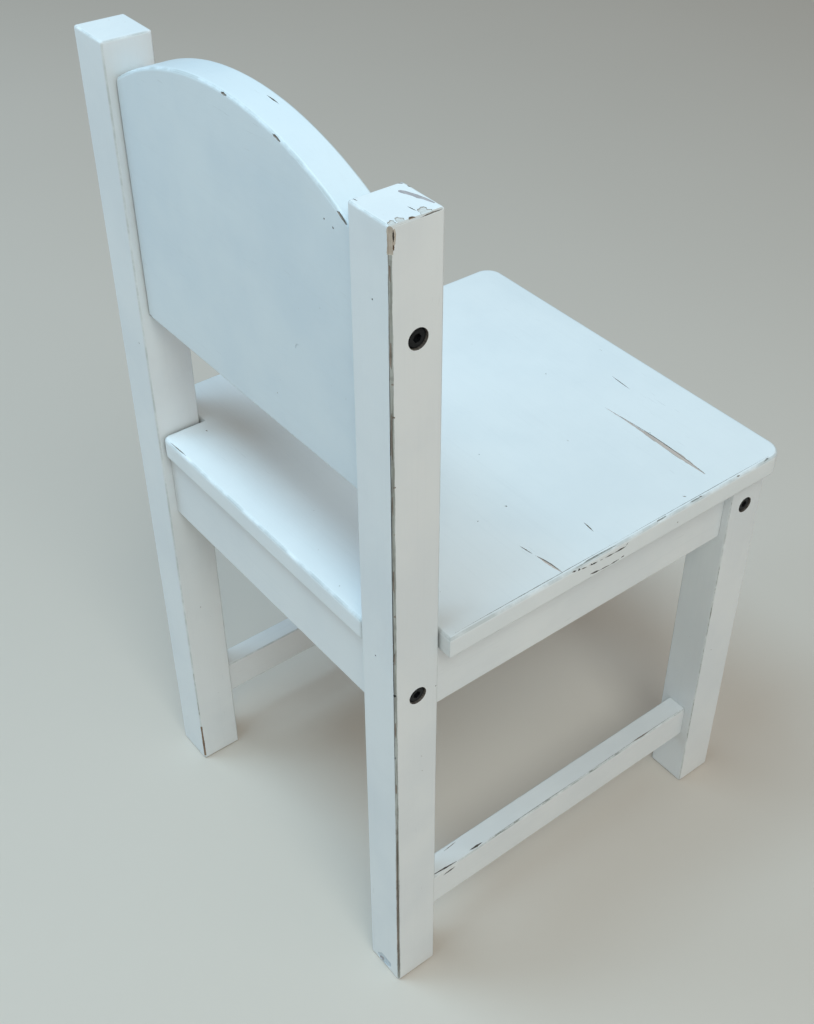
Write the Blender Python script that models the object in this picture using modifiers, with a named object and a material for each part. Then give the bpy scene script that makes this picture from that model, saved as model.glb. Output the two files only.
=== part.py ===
"""A child's wooden chair, painted white and worn: two side frames, an arched back and a notched seat.

Metres, +Z up. The chair stands on the floor at z = 0, its back towards +Y and its seat towards -Y,
with the origin at the bottom centre of its box. The sitter's left is +X.
"""
import math

import bmesh
import bpy
from mathutils import Matrix, Vector

# Overall sizes
CROWN_HEIGHT = 0.540
POST_HEIGHT = 0.530
FRAME_WIDTH = 0.260
FRAME_DEPTH = 0.285
LEG_SECTION = 0.0285
EDGE_RADIUS = 0.0015

# Seat board
SEAT_HEIGHT = 0.292
SEAT_THICKNESS = 0.015
SEAT_SIDE_OVERHANG = 0.008
SEAT_FRONT_OVERHANG = 0.005
SEAT_REAR_INSET = 0.002
SEAT_CORNER_RADIUS = 0.012
SEAT_REAR_CORNER_RADIUS = 0.004
SEAT_EDGE_RADIUS = 0.0025
NOTCH_CLEARANCE = 0.0008

# Aprons under the seat
APRON_HEIGHT = 0.046
APRON_THICKNESS = 0.018
SIDE_APRON_RECESS = 0.0056
CROSS_APRON_RECESS = 0.0058

# Side stretchers near the floor
STRETCHER_TOP = 0.072
STRETCHER_HEIGHT = 0.026
STRETCHER_THICKNESS = 0.015
STRETCHER_RECESS = 0.0066

# Arched back panel
BACK_BOTTOM = 0.374
BACK_THICKNESS = 0.020
BACK_RECESS = 0.0046
BACK_ARCH_RADIUS = 0.1915
BACK_CORNER_RADIUS = 0.005
BACK_EDGE_RADIUS = 0.002
BACK_BOLT_RISE = 0.099
BACK_DOWEL_RISE = 0.030

# Connector bolts and their threaded inserts
BOLT_HEAD_DIAMETER = 0.0108
BOLT_HEAD_HEIGHT = 0.0032
BOLT_SINK = 0.0008
BOLT_DIAMETER = 0.006
BOLT_GRIP_IN_INSERT = 0.012
SOCKET_WIDTH = 0.004
SOCKET_DEPTH = 0.0022
SOCKET_SIDES = 6
INSERT_DIAMETER = 0.010
INSERT_LENGTH = 0.014
INSERT_RIB_HEIGHT = 0.0005
INSERT_RIBS = 3

# Dowels
FRAME_DOWEL_DIAMETER = 0.008
FRAME_DOWEL_DEPTH_IN_RAIL = 0.018
STRETCHER_DOWEL_DIAMETER = 0.006
CROSS_DOWEL_DIAMETER = 0.006
CROSS_DOWEL_DEPTH_IN_POST = 0.010
CROSS_DOWEL_DEPTH_IN_RAIL = 0.018
BORE_WALL = 0.001

# Screws that hold the seat from below
SEAT_SCREW_SPACING = 0.120
SEAT_SCREW_HEAD_DIAMETER = 0.0075
SEAT_SCREW_HEAD_HEIGHT = 0.0025
SEAT_SCREW_DIAMETER = 0.0038
SEAT_SCREW_BITE = 0.010
SEAT_SCREW_GRIP = 0.020

# Damage. The photographed side is the sitter's right; splits run with the grain of their board
LENS_STEPS = 8
CHIP_STEPS = 12
CHIP_LOBE = 0.18
FLAKE_DEPTH = 0.0005
SPLIT_DEPTH = 0.0007
SEAT_FACE_SPLIT_WIDTH = 0.0009
SEAT_FACE_SPLIT_LENGTH = 0.038
SEAT_FACE_SPLIT_FROM_FRONT = 0.1535
SEAT_FACE_SPLIT_FROM_TOP = 0.0035
SEAT_LOWER_SPLIT_LENGTH = 0.025
SEAT_LOWER_SPLIT_FROM_BOTTOM = 0.0035
SEAT_EDGE_FLAKE_LENGTH = 0.036
SEAT_EDGE_FLAKE_WIDTH = 0.005
NICK_SWEEP_RADIUS = 0.007
NICK_REACH = 0.004

# Splits in the seat's top: in from the right edge, back from the front edge, length and width
SEAT_SPLITS = {
    "long_split": (0.0140, 0.0566, 0.0835, 0.0036),
    "front_split": (0.1035, 0.0295, 0.0176, 0.0010),
    "edge_split": (0.0030, 0.1824, 0.0180, 0.0016),
    "edge_split_tail": (0.0235, 0.1845, 0.0100, 0.0009),
    "middle_split": (0.0170, 0.1440, 0.0092, 0.0010),
}

# Flakes off the right post's top: in from the outer face, forward from the rear face, length and width
POST_TOP_FLAKES = {
    "corner_flake": (0.0022, 0.0036, 0.0060, 0.0046),
    "second_flake": (0.0018, 0.0090, 0.0042, 0.0040),
    "third_flake": (0.0014, 0.0172, 0.0068, 0.0040),
    "front_flake": (0.0010, 0.0240, 0.0050, 0.0022),
}

# Nicks in the right post's outer rear edge: the height of each and how far it bites past the rounding
POST_EDGE_NICKS = {
    "corner_nick": (0.5255, 0.0008),
    "upper_nick": (0.4380, 0.0005),
    "middle_nick": (0.3180, 0.0005),
    "lower_nick": (0.1500, 0.0005),
    "foot_nick": (0.0470, 0.0005),
}

# Splits in the right stretcher's top: in from the outer face, forward from the rear post, length and width
STRETCHER_SPLITS = {
    "rear_split": (0.0018, 0.0140, 0.0170, 0.0010),
    "worn_split": (0.0018, 0.0360, 0.0100, 0.0014),
    "front_split": (0.0014, 0.1850, 0.0180, 0.0013),
}

# Clearances and smoothness
FIT_GAP = 0.0003
CUT_PAST = 0.002
ROUND_SIDES = 12
BOLT_SIDES = 20
CORNER_STEPS = 6
ARCH_STEPS = 28
MERGE_DISTANCE = 0.00001

# Planes that the pieces share
REAR_Y = (FRAME_DEPTH + SEAT_FRONT_OVERHANG) / 2
FRONT_Y = REAR_Y - FRAME_DEPTH
POST_FRONT_Y = REAR_Y - LEG_SECTION
LEG_REAR_Y = FRONT_Y + LEG_SECTION
OUTER_X = FRAME_WIDTH / 2
INNER_X = OUTER_X - LEG_SECTION
SEAT_BOTTOM = SEAT_HEIGHT - SEAT_THICKNESS
APRON_TOP = SEAT_BOTTOM - FIT_GAP
APRON_BOTTOM = SEAT_BOTTOM - APRON_HEIGHT
APRON_MIDDLE = (APRON_TOP + APRON_BOTTOM) / 2
SIDE_APRON_X = OUTER_X - SIDE_APRON_RECESS - APRON_THICKNESS / 2
REAR_APRON_Y = REAR_Y - CROSS_APRON_RECESS - APRON_THICKNESS / 2
FRONT_APRON_Y = FRONT_Y + CROSS_APRON_RECESS + APRON_THICKNESS / 2
STRETCHER_X = OUTER_X - STRETCHER_RECESS - STRETCHER_THICKNESS / 2
STRETCHER_MIDDLE = STRETCHER_TOP - STRETCHER_HEIGHT / 2
BACK_Y = REAR_Y - BACK_RECESS - BACK_THICKNESS / 2
RAIL_END_X = INNER_X - FIT_GAP
BOLT_BORE_RADIUS = BOLT_DIAMETER / 2 + FIT_GAP
INSERT_BORE_RADIUS = INSERT_DIAMETER / 2 + INSERT_RIB_HEIGHT + FIT_GAP
BACK_BOLT_Z = BACK_BOTTOM + BACK_BOLT_RISE
BACK_DOWEL_Z = BACK_BOTTOM + BACK_DOWEL_RISE
CROSS_DOWEL_Z = APRON_MIDDLE + (INSERT_BORE_RADIUS + APRON_HEIGHT / 2) / 2

# A dowel from the side stops short of the bolt that crosses the same post
CROSS_BOLT_DEPTH = CROSS_APRON_RECESS + APRON_THICKNESS / 2
SIDE_DOWEL_DEPTH_IN_POST = LEG_SECTION - CROSS_BOLT_DEPTH - BOLT_BORE_RADIUS - BORE_WALL

WHITE_PAINT = ("white_paint", (0.80, 0.84, 0.86), 0.42, 0.0)
SEAT_PAINT = ("seat_paint", (0.82, 0.87, 0.90), 0.38, 0.0)
BACK_PAINT = ("back_paint", (0.76, 0.83, 0.88), 0.40, 0.0)
BLACK_STEEL = ("black_steel", (0.015, 0.015, 0.017), 0.35, 0.8)
ZINC_STEEL = ("zinc_steel", (0.55, 0.56, 0.58), 0.35, 0.9)
BARE_BEECH = ("bare_beech", (0.55, 0.40, 0.26), 0.65, 0.0)


def clear_scene():
    for obj in list(bpy.data.objects):
        bpy.data.objects.remove(obj, do_unlink=True)


def new_collection(name):
    collection = bpy.data.collections.new(name)
    bpy.context.scene.collection.children.link(collection)
    return collection


def make_material(name, colour, roughness, metallic):
    material = bpy.data.materials.new(name)
    material.use_nodes = True
    shader = material.node_tree.nodes["Principled BSDF"]
    shader.inputs["Base Color"].default_value = (*colour, 1.0)
    shader.inputs["Roughness"].default_value = roughness
    shader.inputs["Metallic"].default_value = metallic
    return material


class Workshop:
    """The chair's collection, its cutters' collection and its materials."""

    def __init__(self):
        self.parts = new_collection("painted_childs_chair")
        self.cutters = new_collection("cutters")
        self.materials = {}

    def material(self, look):
        name = look[0]
        if name not in self.materials:
            self.materials[name] = make_material(*look)
        return self.materials[name]

    def add_part(self, obj, look):
        self.parts.objects.link(obj)
        obj.data.materials.clear()
        obj.data.materials.append(self.material(look))
        return obj

    def add_cutter(self, obj):
        self.cutters.objects.link(obj)
        obj.display_type = "WIRE"
        obj.hide_render = True
        return obj


def object_from_bmesh(name, mesh_data):
    mesh = bpy.data.meshes.new(name)
    mesh_data.to_mesh(mesh)
    mesh_data.free()
    return bpy.data.objects.new(name, mesh)


def box_object(name, low, high):
    """An upright box between two corners, with its origin at its middle."""
    low = Vector(low)
    high = Vector(high)
    size = high - low
    mesh_data = bmesh.new()
    bmesh.ops.create_cube(mesh_data, size=1.0, matrix=Matrix.Diagonal((*size, 1.0)))
    obj = object_from_bmesh(name, mesh_data)
    obj.location = (low + high) / 2
    return obj


def rod_object(name, radius, start, end, sides=ROUND_SIDES):
    """A plain cylinder between two points."""
    start = Vector(start)
    end = Vector(end)
    axis = end - start
    mesh_data = bmesh.new()
    bmesh.ops.create_cone(
        mesh_data, cap_ends=True, segments=sides, radius1=radius, radius2=radius, depth=axis.length
    )
    obj = object_from_bmesh(name, mesh_data)
    obj.location = (start + end) / 2
    obj.rotation_mode = "QUATERNION"
    obj.rotation_quaternion = axis.to_track_quat("Z", "Y")
    return obj


def turned_object(name, profile, closed, sides):
    """A profile of (radius, height) points turned about local Z."""
    mesh_data = bmesh.new()
    corners = [mesh_data.verts.new((radius, 0.0, height)) for radius, height in profile]
    for first, second in zip(corners, corners[1:]):
        mesh_data.edges.new((first, second))
    if closed:
        mesh_data.edges.new((corners[-1], corners[0]))
    obj = object_from_bmesh(name, mesh_data)
    screw = obj.modifiers.new("turn", "SCREW")
    screw.steps = sides
    screw.render_steps = sides
    screw.use_merge_vertices = True
    screw.merge_threshold = MERGE_DISTANCE
    return obj


def board_object(name, outline, thickness):
    """A flat board: an outline in local XY, extruded evenly about z = 0."""
    curve = bpy.data.curves.new(name, "CURVE")
    curve.dimensions = "2D"
    curve.fill_mode = "BOTH"
    curve.extrude = thickness / 2
    spline = curve.splines.new("POLY")
    spline.points.add(len(outline) - 1)
    for point, (x, y) in zip(spline.points, outline):
        point.co = (x, y, 0.0, 1.0)
    spline.use_cyclic_u = True
    curve_object = bpy.data.objects.new(name + "_outline", curve)
    bpy.context.scene.collection.objects.link(curve_object)
    evaluated = curve_object.evaluated_get(bpy.context.evaluated_depsgraph_get())
    mesh = bpy.data.meshes.new_from_object(evaluated)
    bpy.data.objects.remove(curve_object, do_unlink=True)
    mesh_data = bmesh.new()
    mesh_data.from_mesh(mesh)
    bmesh.ops.remove_doubles(mesh_data, verts=mesh_data.verts, dist=MERGE_DISTANCE)
    bmesh.ops.dissolve_limit(
        mesh_data, angle_limit=math.radians(0.5), verts=mesh_data.verts, edges=mesh_data.edges
    )
    bmesh.ops.recalc_face_normals(mesh_data, faces=mesh_data.faces)
    mesh_data.to_mesh(mesh)
    mesh_data.free()
    mesh.name = name
    return bpy.data.objects.new(name, mesh)


def arc_points(centre, radius, start_degrees, end_degrees, steps):
    points = []
    for step in range(steps + 1):
        angle = math.radians(start_degrees + (end_degrees - start_degrees) * step / steps)
        points.append((centre[0] + radius * math.cos(angle), centre[1] + radius * math.sin(angle)))
    return points


def soften(obj, width, segments=2):
    """Round the sharp edges over, as sandpaper and paint leave them."""
    bevel = obj.modifiers.new("softened_edges", "BEVEL")
    bevel.width = width
    bevel.segments = segments
    bevel.limit_method = "ANGLE"
    bevel.angle_limit = math.radians(40)
    return bevel


def cut(shop, obj, cutter):
    shop.add_cutter(cutter)
    boolean = obj.modifiers.new(cutter.name, "BOOLEAN")
    boolean.operation = "DIFFERENCE"
    boolean.object = cutter
    return boolean


def bore(shop, obj, label, radius, mouth, floor):
    """A round hole from just outside the mouth to the floor."""
    mouth = Vector(mouth)
    floor = Vector(floor)
    outside = mouth + (mouth - floor).normalized() * CUT_PAST
    return cut(shop, obj, rod_object(f"cutter_{obj.name}_{label}", radius, outside, floor))


def lens_outline(length, width):
    """A long thin closed line along X, pointed at both ends: a split that has opened in the grain."""
    outline = []
    for step in range(2 * LENS_STEPS):
        share = 1 - abs(step / LENS_STEPS - 1)
        half = width / 2 * math.sin(math.pi * share)
        outline.append(((share - 0.5) * length, -half if step < LENS_STEPS else half))
    return outline


def flake_outline(length, width):
    """A closed line with shallow lobes, long in Y: where a flake of paint has come away."""
    outline = []
    for step in range(CHIP_STEPS):
        angle = 2 * math.pi * step / CHIP_STEPS
        reach = 1 + CHIP_LOBE * math.sin(3 * angle + 1)
        outline.append((width / 2 * math.cos(angle) * reach, length / 2 * math.sin(angle) * reach))
    return outline


def cut_from_above(shop, obj, label, outline, x, y, top, depth, turn_degrees=0.0):
    """A shallow pocket in a level face, with the outline as its rim."""
    cutter = board_object(f"cutter_{obj.name}_{label}", outline, depth + CUT_PAST)
    cutter.location = (x, y, top + (CUT_PAST - depth) / 2)
    cutter.rotation_euler.z = math.radians(turn_degrees)
    return cut(shop, obj, cutter)


def cut_from_right(shop, obj, label, outline, face_x, y, z, depth):
    """A shallow pocket in an upright face that looks to the right, long from front to back."""
    cutter = board_object(f"cutter_{obj.name}_{label}", outline, depth + CUT_PAST)
    cutter.location = (face_x - (CUT_PAST - depth) / 2, y, z)
    cutter.rotation_euler = (math.radians(90), 0.0, math.radians(90))
    return cut(shop, obj, cutter)


def nick_rear_edge(shop, post, label, z, bite):
    """A scoop out of the right post's outer rear edge."""
    outwards = Vector((-1.0, 1.0, 0.0)).normalized()
    level_run = Vector((1.0, 1.0, 0.0)).normalized()
    rounding = EDGE_RADIUS * (math.sqrt(2) - 1)
    corner = Vector((-OUTER_X, REAR_Y, z))
    middle = corner + outwards * (NICK_SWEEP_RADIUS - rounding - bite)
    start = middle - level_run * NICK_REACH
    end = middle + level_run * NICK_REACH
    return cut(shop, post, rod_object(f"cutter_{post.name}_{label}", NICK_SWEEP_RADIUS, start, end))


def wear_right_post(shop, post):
    for label, (inwards, forwards, length, width) in POST_TOP_FLAKES.items():
        outline = flake_outline(length, width)
        place = (inwards - OUTER_X, REAR_Y - forwards)
        cut_from_above(shop, post, label, outline, *place, POST_HEIGHT, FLAKE_DEPTH)
    for label, (z, bite) in POST_EDGE_NICKS.items():
        nick_rear_edge(shop, post, label, z, bite)


def wear_right_stretcher(shop, stretcher):
    for label, (inwards, forwards, length, width) in STRETCHER_SPLITS.items():
        x = inwards - STRETCHER_X - STRETCHER_THICKNESS / 2
        y = POST_FRONT_Y - forwards - length / 2
        outline = lens_outline(length, width)
        cut_from_above(shop, stretcher, label, outline, x, y, STRETCHER_TOP, SPLIT_DEPTH, 90.0)


def wear_seat(shop, seat):
    right = -OUTER_X - SEAT_SIDE_OVERHANG
    front = FRONT_Y - SEAT_FRONT_OVERHANG
    for label, (inwards, backwards, length, width) in SEAT_SPLITS.items():
        place = (right + inwards + length / 2, front + backwards)
        cut_from_above(shop, seat, label, lens_outline(length, width), *place, SEAT_HEIGHT, SPLIT_DEPTH)
    middle = front + SEAT_FACE_SPLIT_FROM_FRONT
    flake = flake_outline(SEAT_EDGE_FLAKE_LENGTH, SEAT_EDGE_FLAKE_WIDTH)
    cut_from_above(shop, seat, "edge_flake", flake, right, middle, SEAT_HEIGHT, FLAKE_DEPTH)
    upper = lens_outline(SEAT_FACE_SPLIT_LENGTH, SEAT_FACE_SPLIT_WIDTH)
    upper_z = SEAT_HEIGHT - SEAT_FACE_SPLIT_FROM_TOP
    cut_from_right(shop, seat, "upper_face_split", upper, right, middle, upper_z, SPLIT_DEPTH)
    lower = lens_outline(SEAT_LOWER_SPLIT_LENGTH, SEAT_FACE_SPLIT_WIDTH)
    lower_z = SEAT_BOTTOM + SEAT_LOWER_SPLIT_FROM_BOTTOM
    cut_from_right(shop, seat, "lower_face_split", lower, right, middle, lower_z, SPLIT_DEPTH)


def shade_round(obj):
    obj.data.shade_smooth()
    obj.data.set_sharp_from_angle(angle=math.radians(35))


def side_name(side):
    return "left" if side > 0 else "right"


def bore_for_bolt(shop, obj, label, side, y, z):
    """The counterbore for a bolt's head and the clearance hole behind it."""
    head_floor = OUTER_X - BOLT_SINK - BOLT_HEAD_HEIGHT - FIT_GAP
    head_radius = BOLT_HEAD_DIAMETER / 2 + FIT_GAP
    bore(shop, obj, label + "_counterbore", head_radius, (side * OUTER_X, y, z), (side * head_floor, y, z))
    inner_end = INNER_X - CUT_PAST
    bore(shop, obj, label + "_hole", BOLT_BORE_RADIUS, (side * OUTER_X, y, z), (side * inner_end, y, z))


def bore_post_for_side_rails(shop, obj, side, face_y, inward):
    """Dowel holes in a post's face, for the side apron and the side stretcher."""
    floor_y = face_y + inward * (SIDE_DOWEL_DEPTH_IN_POST + FIT_GAP)
    for number, z in enumerate(frame_dowel_heights(), start=1):
        bore(
            shop, obj, f"apron_dowel_{number}", FRAME_DOWEL_DIAMETER / 2 + FIT_GAP,
            (side * SIDE_APRON_X, face_y, z), (side * SIDE_APRON_X, floor_y, z),
        )
    for number, z in enumerate(stretcher_dowel_heights(), start=1):
        bore(
            shop, obj, f"stretcher_dowel_{number}", STRETCHER_DOWEL_DIAMETER / 2 + FIT_GAP,
            (side * STRETCHER_X, face_y, z), (side * STRETCHER_X, floor_y, z),
        )


def bore_post_for_cross_dowel(shop, obj, label, side, y, z):
    """A dowel hole in a post's inner face, for a rail that crosses the chair."""
    floor_x = INNER_X + CROSS_DOWEL_DEPTH_IN_POST + FIT_GAP
    radius = CROSS_DOWEL_DIAMETER / 2 + FIT_GAP
    bore(shop, obj, label, radius, (side * INNER_X, y, z), (side * floor_x, y, z))


def frame_dowel_heights():
    return (APRON_MIDDLE - APRON_HEIGHT / 4, APRON_MIDDLE + APRON_HEIGHT / 4)


def stretcher_dowel_heights():
    return (STRETCHER_MIDDLE - STRETCHER_HEIGHT / 4, STRETCHER_MIDDLE + STRETCHER_HEIGHT / 4)


def add_rear_post(shop, side):
    low = (min(side * INNER_X, side * OUTER_X), POST_FRONT_Y, 0.0)
    high = (max(side * INNER_X, side * OUTER_X), REAR_Y, POST_HEIGHT)
    post = shop.add_part(box_object("rear_post_" + side_name(side), low, high), WHITE_PAINT)
    soften(post, EDGE_RADIUS)
    bore_for_bolt(shop, post, "back_bolt", side, BACK_Y, BACK_BOLT_Z)
    bore_for_bolt(shop, post, "apron_bolt", side, REAR_APRON_Y, APRON_MIDDLE)
    bore_post_for_side_rails(shop, post, side, POST_FRONT_Y, 1)
    bore_post_for_cross_dowel(shop, post, "back_dowel", side, BACK_Y, BACK_DOWEL_Z)
    bore_post_for_cross_dowel(shop, post, "apron_dowel", side, REAR_APRON_Y, CROSS_DOWEL_Z)
    if side < 0:
        wear_right_post(shop, post)


def add_front_leg(shop, side):
    low = (min(side * INNER_X, side * OUTER_X), FRONT_Y, 0.0)
    high = (max(side * INNER_X, side * OUTER_X), LEG_REAR_Y, SEAT_BOTTOM - FIT_GAP)
    leg = shop.add_part(box_object("front_leg_" + side_name(side), low, high), WHITE_PAINT)
    soften(leg, EDGE_RADIUS)
    bore_for_bolt(shop, leg, "apron_bolt", side, FRONT_APRON_Y, APRON_MIDDLE)
    bore_post_for_side_rails(shop, leg, side, LEG_REAR_Y, -1)
    bore_post_for_cross_dowel(shop, leg, "apron_dowel", side, FRONT_APRON_Y, CROSS_DOWEL_Z)


def bore_rail_ends(shop, obj, x, radius, depth, heights, label):
    """Dowel holes in both ends of a rail that runs from front to back."""
    rail_front = LEG_REAR_Y + FIT_GAP
    rail_rear = POST_FRONT_Y - FIT_GAP
    for number, z in enumerate(heights, start=1):
        floor = depth + FIT_GAP
        bore(shop, obj, f"{label}_rear_{number}", radius, (x, rail_rear, z), (x, rail_rear - floor, z))
        bore(shop, obj, f"{label}_front_{number}", radius, (x, rail_front, z), (x, rail_front + floor, z))


def seat_screw_places(side):
    return [(side * SIDE_APRON_X, sign * SEAT_SCREW_SPACING / 2) for sign in (1, -1)]


def add_side_apron(shop, side):
    x = side * SIDE_APRON_X
    low = (x - APRON_THICKNESS / 2, LEG_REAR_Y + FIT_GAP, APRON_BOTTOM)
    high = (x + APRON_THICKNESS / 2, POST_FRONT_Y - FIT_GAP, APRON_TOP)
    apron = shop.add_part(box_object("side_apron_" + side_name(side), low, high), WHITE_PAINT)
    soften(apron, EDGE_RADIUS)
    radius = FRAME_DOWEL_DIAMETER / 2 + FIT_GAP
    bore_rail_ends(shop, apron, x, radius, FRAME_DOWEL_DEPTH_IN_RAIL, frame_dowel_heights(), "dowel")
    head_radius = SEAT_SCREW_HEAD_DIAMETER / 2 + FIT_GAP
    shank_radius = SEAT_SCREW_DIAMETER / 2 + FIT_GAP
    shoulder = APRON_TOP - SEAT_SCREW_GRIP
    for number, (screw_x, screw_y) in enumerate(seat_screw_places(side), start=1):
        bottom = (screw_x, screw_y, APRON_BOTTOM)
        bore(shop, apron, f"screw_well_{number}", head_radius, bottom, (screw_x, screw_y, shoulder))
        above = (screw_x, screw_y, APRON_TOP + CUT_PAST)
        bore(shop, apron, f"screw_hole_{number}", shank_radius, bottom, above)


def add_side_stretcher(shop, side):
    x = side * STRETCHER_X
    low = (x - STRETCHER_THICKNESS / 2, LEG_REAR_Y + FIT_GAP, STRETCHER_TOP - STRETCHER_HEIGHT)
    high = (x + STRETCHER_THICKNESS / 2, POST_FRONT_Y - FIT_GAP, STRETCHER_TOP)
    stretcher = shop.add_part(box_object("side_stretcher_" + side_name(side), low, high), WHITE_PAINT)
    soften(stretcher, EDGE_RADIUS)
    radius = STRETCHER_DOWEL_DIAMETER / 2 + FIT_GAP
    heights = stretcher_dowel_heights()
    bore_rail_ends(shop, stretcher, x, radius, FRAME_DOWEL_DEPTH_IN_RAIL, heights, "dowel")
    if side < 0:
        wear_right_stretcher(shop, stretcher)


def bore_cross_rail_ends(shop, obj, y, bolt_z, dowel_z):
    """An insert's bore, the bolt's run-out and a dowel hole in both ends of a rail across the chair."""
    insert_floor = RAIL_END_X - INSERT_LENGTH - 2 * FIT_GAP
    bolt_floor = bolt_tip_x() - FIT_GAP
    dowel_floor = RAIL_END_X - CROSS_DOWEL_DEPTH_IN_RAIL - FIT_GAP
    for side in (1, -1):
        name = side_name(side)
        end = (side * RAIL_END_X, y, bolt_z)
        bore(shop, obj, "insert_" + name, INSERT_BORE_RADIUS, end, (side * insert_floor, y, bolt_z))
        bore(shop, obj, "run_out_" + name, BOLT_BORE_RADIUS, end, (side * bolt_floor, y, bolt_z))
        dowel_radius = CROSS_DOWEL_DIAMETER / 2 + FIT_GAP
        mouth = (side * RAIL_END_X, y, dowel_z)
        bore(shop, obj, "dowel_" + name, dowel_radius, mouth, (side * dowel_floor, y, dowel_z))


def add_cross_apron(shop, name, y):
    low = (-RAIL_END_X, y - APRON_THICKNESS / 2, APRON_BOTTOM)
    high = (RAIL_END_X, y + APRON_THICKNESS / 2, APRON_TOP)
    apron = shop.add_part(box_object(name, low, high), WHITE_PAINT)
    soften(apron, EDGE_RADIUS)
    bore_cross_rail_ends(shop, apron, y, APRON_MIDDLE, CROSS_DOWEL_Z)


def seat_outline():
    """The seat from above, anticlockwise: rounded front corners, and a tongue between the rear posts."""
    half = OUTER_X + SEAT_SIDE_OVERHANG
    front = FRONT_Y - SEAT_FRONT_OVERHANG
    notch_y = POST_FRONT_Y - NOTCH_CLEARANCE
    tongue = INNER_X - NOTCH_CLEARANCE
    rear = REAR_Y - SEAT_REAR_INSET
    corner = SEAT_CORNER_RADIUS
    small = SEAT_REAR_CORNER_RADIUS
    outline = arc_points((half - corner, front + corner), corner, -90, 0, CORNER_STEPS)
    outline += [(half, notch_y), (tongue, notch_y)]
    outline += arc_points((tongue - small, rear - small), small, 0, 90, CORNER_STEPS // 2)
    outline += arc_points((small - tongue, rear - small), small, 90, 180, CORNER_STEPS // 2)
    outline += [(-tongue, notch_y), (-half, notch_y)]
    outline += arc_points((corner - half, front + corner), corner, 180, 270, CORNER_STEPS)
    return outline


def add_seat_board(shop):
    seat = shop.add_part(board_object("seat_board", seat_outline(), SEAT_THICKNESS), SEAT_PAINT)
    seat.location.z = SEAT_BOTTOM + SEAT_THICKNESS / 2
    soften(seat, min(SEAT_EDGE_RADIUS, SEAT_THICKNESS / 3))
    radius = SEAT_SCREW_DIAMETER / 2 + FIT_GAP
    for side in (1, -1):
        for number, (x, y) in enumerate(seat_screw_places(side), start=1):
            tip = seat_screw_tip() + FIT_GAP
            bore(shop, seat, f"screw_{side_name(side)}_{number}", radius, (x, y, SEAT_BOTTOM), (x, y, tip))
    wear_seat(shop, seat)


def back_outline():
    """The back panel from behind: a straight lower edge, upright ends and one arc over the top."""
    end = RAIL_END_X
    arc_centre_z = CROWN_HEIGHT - BACK_ARCH_RADIUS
    small = BACK_CORNER_RADIUS
    reach = BACK_ARCH_RADIUS - small
    corner_z = arc_centre_z + math.sqrt(reach ** 2 - (end - small) ** 2)
    arch_start = math.degrees(math.atan2(corner_z - arc_centre_z, end - small))
    outline = [(-end, BACK_BOTTOM), (end, BACK_BOTTOM)]
    outline += arc_points((end - small, corner_z), small, 0, arch_start, CORNER_STEPS // 2)
    arch = arc_points((0.0, arc_centre_z), BACK_ARCH_RADIUS, arch_start, 180 - arch_start, ARCH_STEPS)
    outline += arch[1:-1]
    outline += arc_points((small - end, corner_z), small, 180 - arch_start, 180, CORNER_STEPS // 2)
    return outline


def add_back_panel(shop):
    panel = shop.add_part(board_object("back_panel", back_outline(), BACK_THICKNESS), BACK_PAINT)
    panel.rotation_euler.x = math.radians(90)
    panel.location.y = BACK_Y
    soften(panel, min(BACK_EDGE_RADIUS, BACK_THICKNESS / 3))
    bore_cross_rail_ends(shop, panel, BACK_Y, BACK_BOLT_Z, BACK_DOWEL_Z)


def bolt_tip_x():
    return RAIL_END_X - FIT_GAP - BOLT_GRIP_IN_INSERT


def bolt_places():
    """Name, side, y and z of each connector bolt."""
    places = []
    for side in (1, -1):
        name = side_name(side)
        places.append(("back_bolt_" + name, "back_insert_" + name, side, BACK_Y, BACK_BOLT_Z))
        places.append(("rear_bolt_" + name, "rear_insert_" + name, side, REAR_APRON_Y, APRON_MIDDLE))
        places.append(("front_bolt_" + name, "front_insert_" + name, side, FRONT_APRON_Y, APRON_MIDDLE))
    return places


def add_bolt(shop, name, side, y, z):
    """A socket-head connector bolt, turned about its length, head outwards and a little sunk."""
    head_face = OUTER_X - BOLT_SINK
    length = head_face - bolt_tip_x()
    head = BOLT_HEAD_DIAMETER / 2
    shank = BOLT_DIAMETER / 2
    dome = BOLT_HEAD_HEIGHT / 4
    point = shank / 4
    profile = [
        (0.0, 0.0),
        (head - 1.5 * dome, 0.0),
        (head - 0.4 * dome, -0.4 * dome),
        (head, -1.5 * dome),
        (head, -BOLT_HEAD_HEIGHT),
        (shank, -BOLT_HEAD_HEIGHT),
        (shank, point - length),
        (shank - point, -length),
        (0.0, -length),
    ]
    bolt = shop.add_part(turned_object(name, profile, False, BOLT_SIDES), BLACK_STEEL)
    bolt.location = (side * head_face, y, z)
    bolt.rotation_euler.y = side * math.radians(90)
    mouth = Vector((side * head_face, y, z))
    inwards = Vector((-side, 0.0, 0.0))
    radius = SOCKET_WIDTH / math.sqrt(3)
    outside = mouth - inwards * CUT_PAST
    floor = mouth + inwards * SOCKET_DEPTH
    socket = rod_object(f"cutter_{name}_socket", radius, outside, floor, SOCKET_SIDES)
    cut(shop, bolt, socket)
    shade_round(bolt)


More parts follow.
